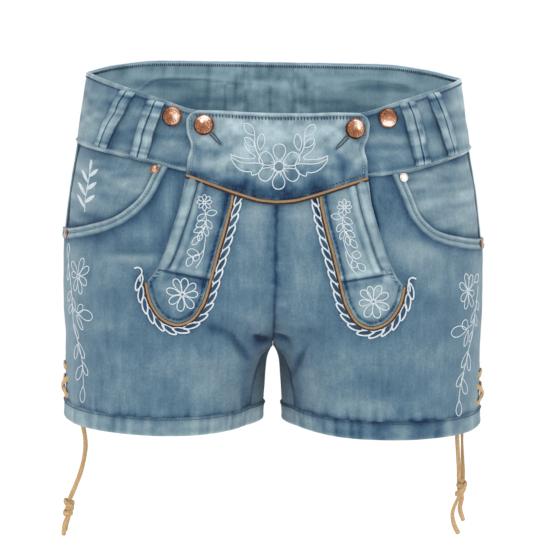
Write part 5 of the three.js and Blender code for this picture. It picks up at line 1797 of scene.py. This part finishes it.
def back_loop(share, sway, out):
    z = lerp(*BACK_LOOP, share)
    s = 1 - np.abs(sway) / stretch(BACK_LOOP_S, z)
    return np.where((sway < 0)[..., None], form(-1, s, z, out)[0], form(1, s, z, out)[0])


for number, (name, *ends) in enumerate(BELT_LOOPS):
    loop_cloth(name, LOOP_HEIGHT, front_loop(*ends), LOOP_SEED + 7 * number)
loop_cloth("belt_loop_back", BACK_LOOP_HEIGHT, back_loop, 197)


# ---------------------------------------------------------------- buttons and rivets
def stand(points, frame):
    """Points made along z set up at a place on the cloth, with z along its normal."""
    place, normal = (np.asarray(v, float).reshape(3) for v in frame)
    side = unit(np.cross(normal, (0.0, 0.0, 1.0)))
    up = np.cross(side, normal)
    return place + points[..., :1] * -side + points[..., 1:2] * up + points[..., 2:] * normal


def turned(name, rings, frame, material, corners, relief=None, painted_highlight=None):
    """A round metal piece from rings of (radius, height, tone), with a relief and a painted highlight."""
    rings = np.array(rings, float)
    angle = np.arange(corners) * 2 * math.pi / corners
    radius, height, wash = np.repeat(rings.T[:, :, None], corners, axis=2)
    if relief:
        raised = relief(radius, angle[None]) * (height > rings[-1, 1] * 0.55)
        height += 0.18 * raised
        wash += 0.3 * raised - 0.06
    points = np.stack([radius * np.cos(angle), radius * np.sin(angle), height], -1)
    if painted_highlight:
        x, y, wide, high, bright = painted_highlight
        near = spot(points[..., 0], points[..., 1], x, y, wide, high)
        away = (points[..., 0] * x + points[..., 1] * y) / math.hypot(x, y)
        # A painted highlight, with the face a little lighter towards it.
        wash += bright * near + 0.016 * away
    index = np.arange(radius.size).reshape(radius.shape)
    ahead = np.roll(index, -1, axis=1)
    quads = np.stack([index[:-1], ahead[:-1], ahead[1:], index[1:]], -1).reshape(-1, 4)
    faces = [quads, index[:1, ::-1], index[-1:]]
    piece = build(f"{name}_metal", stand(points, frame), faces, material, "copper",
                  wash=wash.ravel(), cloth=points.reshape(-1, 3) * MM)
    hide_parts(name)


def button_relief(radius, angle):
    """A plain raised ring, short ticks inside it and a small boss."""
    ticks = smooth(0.2, 0.7, np.cos(14 * angle)) * bump(radius - 5.2, 0.55)
    return bump(radius - 6.7, 0.35) + ticks * 0.9


# Each ring: radius, height and tone. A button has a shank, a rim and a domed face, which darkens towards
# its rim: painted reflection shade.
BUTTON_SHANK = [(3.0, 0.0, 0.2), (3.0, 1.2, 0.2), (7.7, 1.2, 0.2), (8.2, 1.4, 0.2), (8.5, 2.0, 0.25),
                (8.4, 2.6, 0.3)]
BUTTON_FACE = [(r, 6.2 - 2.7 * (r / 8) ** 2 - 0.5 * (r / 8) ** 6, 0.62 - 0.34 * (r / 8) ** 4)
               for r in np.arange(8.1, 0.3, -0.27)]
RIVET_RINGS = [(3.5, 0.0, 0.2), (3.8, 0.2, 0.4), (3.75, 0.5, 0.5), (3.4, 0.78, 0.65), (2.9, 0.95, 0.45),
               (2.5, 1.0, 0.35), (2.2, 1.2, 0.7), (1.5, 1.38, 0.75), (0.8, 1.42, 0.75), (0.2, 1.43, 0.75)]
BUTTON_CORNERS = 72
RIVET_CORNERS = 32
RIVET_REST = 3.4
SIDE_RIVET_U = 173
# Where each button has its painted highlight: across and up from its middle, half width, half height, how
# much.
PAINTED_HIGHLIGHTS = [(4.2, 0.5, 2.6, 4.6, 0.3), (0.6, 5.2, 5.0, 2.4, 0.5), (2.4, 3.4, 3.4, 3.2, 0.46),
          (-1.2, -4.4, 5.0, 2.6, 0.52)]
for (name, u, z, rest), painted_highlight in zip(BUTTONS, PAINTED_HIGHLIGHTS):
    turned(name, BUTTON_SHANK + BUTTON_FACE, on_front(u, z, rest), COPPER, BUTTON_CORNERS, button_relief,
           painted_highlight)
for name, u, z in RIVETS:
    turned(name, RIVET_RINGS, on_front(u, z, RIVET_REST), RIVET_PAINTED_HIGHLIGHT if u > 0 else COPPER, RIVET_CORNERS)
for label, side in HALVES:
    s, z = beside_scoop(side, SIDE_RIVET_U, POCKET_BINDING / 2)
    turned(f"rivet_side_{label}", RIVET_RINGS, form(side, s, z, RIVET_REST), COPPER, RIVET_CORNERS)


# ---------------------------------------------------------------- piping
FLAP_PIPING_HALF = 74.3
PIPING_IN = 1.5
PIPING_RADIUS = 1.02
PIPING_FLAT = 0.9
# The dark strip beside the cord stands for its flange and its painted shadow.
FLANGE_AWAY = 1.5
FLANGE_SUNK = 0.55
FLANGE_RADIUS = 1.1
FLANGE_FLAT = 0.3
FLAP_PIPING_OUT = 4.3
TAB_PIPING_OUT = 2.9


def placed(place, path, out):
    """Points and normals of a plane path by a function of u, z and out."""
    return place(path[:, 0], path[:, 1], out)


def piping(name, node, path, out, outward):
    """A tan cord along an edge with a dark strip on the side the outward arrows point to: its dark flange and
    painted shadow.
    """
    bag = Bag()
    bag.tube(*placed(on_front, path, out), PIPING_RADIUS, PIPING_FLAT, 10)
    cord = bag.piece(name, PIPING, "piping")
    bag = Bag()
    path = path + outward * FLANGE_AWAY
    bag.tube(*placed(on_front, path, out - FLANGE_SUNK), FLANGE_RADIUS, FLANGE_FLAT, 8)
    bag.piece(name + "_flange_and_shadow", DARK_FLANGE_AND_SHADOW, "piping")
    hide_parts(node)


u = np.linspace(-FLAP_PIPING_HALF, FLAP_PIPING_HALF, 190)
path = np.stack([u, flap_bottom(u) - PIPING_IN], -1)
piping("flap_cord", "flap_piping", path, FLAP_PIPING_OUT, outward_of(path))
# A tab's cord ends under the flap, just past the tab's top inner corner.
end_u = TAB["inner"][0] + 0.8
end = (end_u, float(flap_bottom(end_u)) - 2 * PIPING_IN - PIPING_RADIUS)
path = np.concatenate((TAB_RIM + TAB_AWAY * PIPING_IN, [end]))
away = np.concatenate((TAB_AWAY, TAB_AWAY[-1:]))
for label, side in HALVES:
    flip = np.array([side, 1.0])
    piping(f"tab_cord_{label}", f"tab_piping_{label}", path * flip, TAB_PIPING_OUT, away * flip)


# ---------------------------------------------------------------- places for thread
def on_panel(u, z, out):
    """A place on a front panel's cloth; u is negative on the right half."""
    u, z = np.broadcast_arrays(np.asarray(u, float), z)
    side = np.where(u < 0, -1, 1)
    s = front_s(np.abs(u), z)
    points = np.zeros(u.shape + (3,))
    normals = np.zeros_like(points)
    for half in (-1, 1):
        mine = side == half
        if mine.any():
            x = np.abs(u[mine])
            rise_by = LAYERS["panel"][1] + panel_lift(half, s[mine], z[mine], x, True) + out
            points[mine], normals[mine] = form(half, s[mine], z[mine], rise_by)
    return points, normals


def beside_seam(side):
    """Places on the panels by the side seam: millimetres forward of the seam and height."""
    def place(away, z, out):
        away, z = np.broadcast_arrays(np.asarray(away, float), z)
        s = side_seam(z) - away / stretch(side_seam(z), z)
        x = plain(s, z).real
        lift = panel_lift(side, s, z, x, bool(np.mean(away) > 0))
        return form(side, s, z, LAYERS["panel"][1] + lift + out)
    return place


def half_of(u):
    return -1 if np.mean(u) < 0 else 1


def on_tab(u, z, out):
    return tab_place(half_of(u), np.abs(u), z, out)


def on_facing(u, z, out):
    return form(half_of(u), front_s(u, z), z, LAYERS["facing"][1] + 0.5 + out)


# ---------------------------------------------------------------- embroidery
THREAD_RADIUS = 0.43
THREAD_STEP = 0.75
THREAD_FLAT = 0.8
THREAD_CORNERS = 6
PETAL_PLACES = 30
PETAL_BASE = 0.45


def arrow(angle):
    return np.array([math.cos(angle), math.sin(angle)])


def petal(base, tip, width, narrow_tip):
    """The outline of a petal or leaf, from its base round its tip and back."""
    base, tip = np.array(base, float), np.array(tip, float)
    phi = np.linspace(0, 2 * math.pi, PETAL_PLACES)
    along = (1 - np.cos(phi)) / 2
    across = np.sin(phi) * (along + 1e-6) ** PETAL_BASE * (1 - along + 1e-6) ** narrow_tip
    across *= width / 2 / np.abs(across).max()
    axis = tip - base
    beside = unit(np.array([-axis[1], axis[0]]))
    return base + along[:, None] * axis + across[:, None] * beside


class Embroidery:
    """Thread lines drawn on one piece of cloth."""

    def __init__(self, place, seed, radius=THREAD_RADIUS, origin=(0, 0), scale=1.0):
        self.place = place
        self.scale = scale
        self.origin = np.array(origin, float)
        self.radius = radius
        self.bag = Bag()
        self.seed = seed

    def line(self, curve, closed=False, lift=0.15, radius=None):
        curve = np.asarray(curve, float) * self.scale + self.origin
        far = float(lengths(curve)[-1])
        path = smoothed(curve, max(8, int(far / THREAD_STEP)))
        self.seed += 1
        along = lengths(path)
        wander = [noise1(along / 4 + 3, self.seed), noise1(along / 4, self.seed + 50)]
        path = path + 0.16 * np.stack(wander, -1)
        if closed:
            path = path[:-1]
            along = along[:-1]
        points, normals = placed(self.place, path, lift + 0.08 * noise1(along / 3, self.seed + 9))
        thick = (radius or self.radius) * (1 + 0.12 * noise1(along / 1.3, self.seed + 20))
        self.bag.tube(points, normals, thick, THREAD_FLAT, THREAD_CORNERS, closed=closed)

    def lines(self, curves, mirror=1):
        for curve in curves:
            self.line(np.array(curve) * mirror)

    def leaf(self, base, tip, width, narrow_tip):
        self.line(petal(base, tip, width, narrow_tip))

    def leaves(self, rows, narrow_tip, mirror=1):
        """Leaves from rows of: base x, z, tip x, z and width."""
        for *ends, width in rows:
            base, tip = np.reshape(ends, (2, 2)) * mirror
            self.leaf(base, tip, width, narrow_tip)

    def flower(self, centre, ring, petals, narrow_tip=0.0):
        """petals are (degrees, reach, width) round a centre."""
        centre = np.array(centre, float)
        for degrees, reach, width in petals:
            way = arrow(math.radians(degrees))
            self.leaf(centre + way * ring, centre + way * reach, width, narrow_tip)
        a = np.linspace(0, 2 * math.pi, 19)
        self.line(centre + ring * np.stack([np.cos(a), np.sin(a)], -1), closed=True, lift=0.4)

    def rays(self, near, far, count, begin):
        for k in range(count):
            way = arrow(begin + 2 * math.pi * (k + 0.2 * math.sin(5 * k)) / count)
            end = far * (0.85 + 0.2 * math.sin(3.1 * k))
            self.line([way * near, way * (near + end) / 2, way * end], radius=self.radius * 0.7)

    def vine(self, plan, ring, petals, narrow_petal, narrow_leaf):
        self.flower(plan["flower"], ring, petals, narrow_petal)
        self.leaves(plan["leaves"], narrow_leaf)
        self.lines(plan["stems"])


# In the tables below a petal is its degrees, reach and width; a leaf is its base x, z, tip x, z and width.
# The flap: a six-petalled flower between two sprays of leaves, all about its centre.
FLAP_FLOWER = (1.2, -72.4)
FLAP_MOTIF_SCALE = 0.955
FLAP_RING = 4.2
FLAP_PETALS = [
    (90, 19.6, 11), (150, 19.4, 11.5), (210, 19.2, 11), (270, 19.2, 10.4), (330, 19.2, 11),
    (30, 19.4, 11.5)]
SPRAY_LINES = [
    [(-13.8, 2), (-17, 8.4), (-20.4, 15), (-21.4, 21), (-21.6, 26.8)],
    [(-20.8, 9), (-25.4, 12), (-29, 16), (-30.8, 20.4)],
    [(-21, 8.8), (-21.6, 7), (-27.6, 6.5), (-35, 7.4), (-42.2, 10)],
    [(-42, 10), (-41, 5), (-38, 0.6), (-32.6, -3.6), (-27, -4.9), (-24.3, -4.7), (-23.6, -7.6), (-21, -7.4),
     (-16.6, -4.6), (-13.6, 1.6)],
    [(-41.6, 7.4), (-35, 4), (-28, 2.6), (-20, 2.9), (-14, 2.3)],
]
SPRAY_LEAVES = [
    (-21.8, 26.6, -30.6, 36.6, 6.8), (-21.4, 16.8, -30, 24.4, 5.6), (-17, 14, -15.2, 28.4, 6.6)]
flap_motif = Embroidery(flap_place, 5, origin=FLAP_FLOWER, scale=FLAP_MOTIF_SCALE)
flap_motif.flower((0, 0), FLAP_RING, FLAP_PETALS)
flap_motif.rays(FLAP_RING, 8.6, 28, 0.2)
for side in (1, -1):
    mirror = np.array([side, 1.0])
    flap_motif.lines(SPRAY_LINES, mirror)
    flap_motif.leaves(SPRAY_LEAVES, 0.3, mirror)
flap_motif.bag.piece("embroidery_flap", WHITE, "light_denim")

# The tabs: a daisy below and a climbing vine above, on each.
TAB_DAISY = {
    -1: ((-76.8, -179.2), [
        (117, 14.0, 5.7), (80, 13.4, 5.7), (40, 13.6, 5.7), (2, 12.5, 5.3), (-52, 14.0, 6.1),
        (-98, 14.1, 6.1), (-145, 12.8, 5.7), (166, 13.2, 5.7)]),
    1: ((81.3, -182.5), [
        (108, 13.0, 5.3), (69, 14.1, 6.1), (28, 13.2, 5.7), (-25, 14.0, 5.7), (-72, 14.1, 6.3),
        (-114, 13.8, 6.1), (-172, 11.7, 5.3), (139, 13.6, 5.7)]),
}
TAB_VINE_FLOWER = [
    (92, 6.6, 3.2), (48, 6.6, 3.0), (5, 6.2, 3.0), (-42, 6.4, 3.0), (-88, 6.8, 3.0), (-134, 6.4, 3.0),
    (178, 6.2, 3.0), (135, 6.6, 3.2)]
TAB_VINE = {
    -1: {
        "flower": (-59.4, -102.8),
        "leaves": [
            (-57.6, -112, -49.2, -110.2, 4.6), (-58.2, -112.4, -65.2, -117.4, 4.4),
            (-58.4, -118.2, -66, -122.6, 4.4), (-57.6, -117, -53.4, -124.2, 4.2),
            (-60, -123.6, -68, -127.4, 4.0), (-58.8, -122, -57, -130.4, 4.2),
            (-61.4, -127, -63.8, -134.6, 4.0), (-62.8, -130.4, -69.2, -137.8, 4.4),
            (-63.4, -145.2, -73.4, -143.6, 6.0), (-63.6, -145.6, -67.4, -151.2, 4.6),
            (-69.2, -147.6, -73, -155.8, 5.0)],
        "stems": [
            [(-59.2, -109), (-57.8, -113), (-57.8, -119), (-60, -126), (-61.8, -130)],
            [(-58, -130), (-58.8, -136), (-59.6, -141), (-62.2, -145), (-64.2, -147)],
            [(-59.4, -140), (-60.2, -146), (-62.4, -151), (-66.2, -157)],
            [(-63.4, -145), (-67, -147.4), (-70, -147.4)]],
    },
    1: {
        "flower": (56, -104.8),
        "leaves": [
            (54, -113.4, 45.4, -111.6, 4.8), (54.6, -113, 62.8, -118.2, 4.4),
            (54.6, -118, 50.6, -125, 4.4), (55.6, -119, 63, -123.4, 4.2), (56.4, -124, 53.2, -131, 3.8),
            (58, -124.6, 65, -129, 4.2), (58.4, -128.6, 60.4, -136, 4.4), (61, -131, 67, -138.2, 4.6),
            (62.8, -143, 70.4, -144.6, 6.2), (63, -149, 66.6, -154.6, 5.2), (67.6, -151, 74, -157, 5.2)],
        "stems": [
            [(55.4, -110.6), (54.6, -115), (55.4, -121), (58, -127), (61, -131)],
            [(55.8, -131), (57.4, -138), (60.4, -144), (63, -147), (62.8, -151)],
            [(57.6, -141), (60, -150), (63.6, -156), (66.8, -159.6)]],
    },
}
for label, side in HALVES:
    work = Embroidery(on_tab, 30 + side)
    centre, petals = TAB_DAISY[side]
    work.flower(centre, 1.5, petals)
    work.radius = 0.38
    work.vine(TAB_VINE[side], 0.9, TAB_VINE_FLOWER, 0.3, 0.35)
    work.bag.piece(f"embroidery_tab_{label}", WHITE, "light_denim")

# The legs: a vine beside each side seam, in millimetres forward of the seam and height.
SIDE_VINE = {
    -1: {
        "flower": (59.5, -171),
        "petals": [(76, 16, 6.4), (32, 15.4, 6.2), (-24, 13.4, 6), (-72, 15.4, 6), (-116, 14.6, 5.6),
                   (178, 12, 5.6), (142, 17, 6)],
        "leaves": [
            (37, -158, 36.4, -146, 6.4), (38, -163, 38.6, -177, 5.6), (47, -185, 38, -194.4, 5.4),
            (49, -190, 53.6, -200.6, 5.2), (49.4, -196, 41, -204, 5.2), (57, -202, 67, -195.4, 6.4),
            (60, -202, 80, -203.4, 8.4), (57, -204, 64.6, -215.4, 5.2), (49.6, -212, 54.6, -224, 5.2),
            (53.4, -227, 60, -240, 6.0), (52, -229, 43.6, -242, 5.6), (56.6, -243, 62, -254, 5.8),
            (56.2, -246, 44, -259.4, 7.0), (55.4, -264, 52.6, -278, 7.0)],
        "stems": [
            [(36.8, -157), (40, -166), (45, -177), (48, -186), (49, -198), (49.4, -212)],
            [(49.2, -204), (52.6, -200.6), (57, -202), (61, -204.4)],
            [(49.4, -212), (52, -224), (56, -238), (56.6, -246), (56, -256), (55.2, -265)]],
    },
    1: {
        "flower": (60.4, -178),
        "petals": [(88, 15, 6), (124, 15.6, 5.6), (32, 12.8, 6), (-34, 12, 6), (-76, 15, 5.6),
                   (-122, 15.8, 5.6), (196, 11.4, 5)],
        "leaves": [
            (47.6, -171, 38.4, -167, 6.6), (45, -187, 38, -196, 5.0), (46, -194, 52.6, -205, 5.0),
            (46.6, -199, 39.6, -209, 5.0), (56.6, -209, 66, -203.6, 7.6), (58, -210, 79.4, -211, 9.0),
            (55.6, -211, 58.4, -224, 5.0), (47, -212, 51.4, -221, 4.8), (50.4, -228, 56.6, -242, 6.0),
            (50.6, -230, 43, -246, 6.0), (52.6, -246, 60.2, -257.6, 6.0), (54.6, -251, 45.6, -265, 7.0),
            (56.4, -270, 56.2, -283, 7.0)],
        "stems": [
            [(40, -176), (43.4, -186), (46, -196), (46.8, -208), (48.6, -220), (50.6, -229)],
            [(47, -204), (50.6, -207), (55, -208.6), (59, -210)],
            [(50.6, -229), (51.6, -240), (54, -250), (56, -261), (56.5, -271)],
            [(60.4, -178), (52, -173.4), (47, -171)]],
    },
}
# How each vine is spread over the leg: from where on, and how much.
SIDE_VINE_EDGE = 37
SIDE_VINE_SPREAD = {-1: (40, 1.3), 1: (42, 1.36)}


def spread(place, near, wide):
    """The same places, drawn out from the vine's edge nearest the seam."""
    return lambda away, z, out: place(near + (np.asarray(away, float) - SIDE_VINE_EDGE) * wide, z, out)


for label, side in HALVES:
    work = Embroidery(spread(beside_seam(side), *SIDE_VINE_SPREAD[side]), 60 + side, radius=0.42)
    work.vine(SIDE_VINE[side], 1.4, SIDE_VINE[side]["petals"], 0.0, 0.1)
    work.bag.piece(f"embroidery_side_{label}", WHITE, "denim")

# A plain satin-stitched sprig on the right hip pocket: leaves of close stitches on a stem.
SPRIG_STEM = [(-161, -117), (-160.6, -107), (-159, -97), (-157.6, -88), (-156.4, -80)]
SPRIG_LEAVES = [
    (-161, -113, -167.4, -104, 4.6), (-160.8, -109, -152.4, -102, 4.8), (-160.2, -103, -167, -93.6, 4.8),
    (-159.4, -98, -151, -91, 4.8), (-158.4, -92, -164, -82.6, 4.6), (-157.4, -87, -150, -80, 4.4),
    (-156.6, -82, -156, -73, 4.8)]
sprig = Bag()
path = smoothed(SPRIG_STEM, 60)
sprig.stitches(*placed(on_facing, path, 0.3), pitch=0.55, length=1.5, slant=1.35)
for *ends, width in SPRIG_LEAVES:
    path = lerp(np.array(ends[:2]), np.array(ends[2:]), np.linspace(0, 1, 30)[:, None])
    taper = width * np.sin(math.pi * np.linspace(0.06, 0.97, 20)) ** 0.8
    sprig.stitches(*placed(on_facing, path, 0.3), pitch=0.5, length=taper, radius=0.36, lift=0.55, slant=1.25)
sprig.piece("embroidery_sprig", WHITE, "pocket_denim")


# ---------------------------------------------------------------- braid round the tabs
BRAID_PITCH = 9.4
BRAID_LOOP = 14.2
BRAID_WIDTH = 4.6
BRAID_RADIUS = 0.7
BRAID_LEAN = math.radians(18)
BRAID_HOOK = [(111.6, -170), (111.4, -166), (110.2, -162.4), (110.6, -160), (113, -158.6), (116.2, -159.4)]
# How many of the braid's 200 places it runs along, and how far its hook is let down, on each half.
BRAID_TRIM = {-1: 200, 1: 195}
HOOK_DROP = {-1: 0, 1: 4.6}
for label, side in HALVES:
    work = Embroidery(on_panel, 90 + side, radius=BRAID_RADIUS)
    path = BRAID_PATH[:BRAID_TRIM[side]]
    far = lengths(path)
    count = int(round(far[-1] / BRAID_PITCH))
    for k in range(count):
        at = far[-1] * (k + 0.45) / count
        middle = resampled(path, far, at)
        ahead = resampled(path, far, at + 1) - middle
        way = arrow(math.atan2(ahead[1], ahead[0]) + BRAID_LEAN * (1 + 0.12 * math.sin(4 * k)))
        beside = np.array([-way[1], way[0]])
        phi = np.linspace(0, 2 * math.pi, 27)[:, None]
        loop = (middle + np.cos(phi) * way * BRAID_LOOP / 2
                + np.sin(phi) * np.abs(np.sin(phi)) ** 0.35 * beside * BRAID_WIDTH / 2)
        work.line(loop * (side, 1), closed=True, lift=0.45 + 0.25 * np.cos(k))
    work.line((np.array(BRAID_HOOK) - (0, HOOK_DROP[side])) * (side, 1), lift=0.6)
    work.bag.piece(f"braid_{label}", WHITE, "denim")


# ---------------------------------------------------------------- stitches
def round_waist(side, drop, out, inside=False, start=0.0, end=1.0, from_seam=False):
    """A row along the waistband, drop below its top edge or above its seam, on one half."""
    s = np.linspace(start, end, 420)
    z = band_seam(side, s) + drop if from_seam else band_top(s) - drop
    if inside:
        return form(side, s, z, LAYERS["waistband"][0] - out)[0], -form(side, s, z, 0)[1]
    return form(side, s, z, LAYERS["waistband"][1] + band_relief(side, s, z) - BAND_SUNK + out)


pale = Bag()
inside_dark = Bag()
dark = Bag()
for label, side in HALVES:
    dark.stitches(*round_waist(side, 3.4, 0.1, end=0.5), pitch=2.3, length=1.8, radius=0.4, slant=0.7, seed=3)
    pale.stitches(*round_waist(side, 3.7, 0.1, start=0.5), seed=3)
    pale.stitches(*round_waist(side, 1.9, 0.12, from_seam=True), length=1.9, seed=4)
    inside_dark.stitches(*round_waist(side, 2.4, 0.1, inside=True), pitch=1.9, length=2.6, radius=0.42,
                         slant=1.3, seed=5)
pale.piece("stitches_waistband", PALE, "denim")

trim_pale = Bag()
u = np.linspace(-68, 68, 160)
dark.stitches(*flap_place(u, flap_top(u) - 4.2, 0.05), pitch=ROPE_PITCH, length=2.9, radius=0.5, slant=1.42,
              seed=6)
u = np.linspace(-72, 72, 160)
dark.stitches(*flap_place(u, flap_bottom(u) + 2.4, 0.1), pitch=2.9, length=1.9, radius=0.55, slant=0.5,
              seed=7)
share = np.linspace(0.08, 0.95, 70)
for side in (-1, 1):
    u = side * (column(FLAP_WIDTH, "half", share) - 3.4)
    z = lerp(flap_top(u), flap_bottom(u), share)
    trim_pale.stitches(*flap_place(u, z, 0.05), pitch=2.4, length=1.6, radius=0.3, seed=8)

# The buttonholes: a slit corded down its middle and bound with close stitches, past the button's shank.
HOLE_PAST = 8.8
for hole in KEYHOLES:
    start, end = np.array(hole)
    way = unit(end - start)
    beside = np.array([-way[1], way[0]])
    start = start + way * HOLE_PAST
    middle = (start + end) / 2
    for turn in (-1, 1):
        edge = [start + beside * turn * 1.4, middle + beside * turn * 1.2, end + beside * turn * 0.4]
        dark.stitches(*placed(flap_place, smoothed(edge, 30), 0.05), pitch=0.8, length=1.0, radius=0.36,
                      slant=1.5)
    trim_pale.tube(*placed(flap_place, smoothed([start, middle, end], 30), 0.0), 0.4)

# The tabs: a row inside the rim, one along the cross seam and a bar of four stitches at its outer end.
TAB_BAR = [(94.5, -156), (96.5, -159), (98.4, -162), (100, -165)]
path = TAB_RIM - TAB_AWAY * 3.0
seam_u = np.linspace(58, 90, 40)
seam_z = TAB_SEAM_Z - 0.8 - (TAB_SEAM_OUT - seam_u) * TAB_SEAM_SLOPE
for label, side in HALVES:
    dark.stitches(*tab_place(side, path[:, 0], path[:, 1], 0.0), pitch=2.2, length=1.5, radius=0.38, seed=9)
    dark.stitches(*tab_place(side, seam_u, seam_z, 0.1), pitch=2.2, length=1.5, radius=0.4, seed=10)
    for k, (bar_u, bar_z) in enumerate(TAB_BAR):
        u = np.linspace(bar_u - 5, bar_u, 8)
        trim_pale.stitches(*tab_place(side, u, bar_z - (u - bar_u) * 0.2, 0.2), pitch=5, length=4.4,
                           radius=0.42, seed=k)
dark.piece("stitches_dark", NAVY, "light_denim")
trim_pale.piece("stitches_flap_pale", PALE, "light_denim")

seams = Bag()
hem_thread = Bag()
u = np.linspace(104, POCKET_END_U - 1, 200)
hem_s = np.linspace(0, 1, 500)
hem_z = hem_seam(hem_s) - 1.6
for label, side in HALVES:
    s, z = beside_scoop(side, u, np.full(len(u), 3.5))
    lift = panel_lift(side, s, z, plain(s, z).real, True) * BINDING_FOLLOWS
    seams.stitches(*form(side, s, z, LAYERS["binding"][1] - BINDING_SUNK + lift - 0.15), radius=0.3, seed=12)
    lift = hem_relief(side, hem_s, hem_z)
    hem_thread.stitches(*form(side, hem_s, hem_z, LAYERS["hem"][1] + lift + 0.05), pitch=2.6, length=1.7,
                        radius=0.36, seed=13)
seams.piece("stitches_seams", PALE, "denim")
hem_thread.piece("stitches_hem", NAVY, "denim")
inside_dark.piece("stitches_inside", NAVY, "denim")
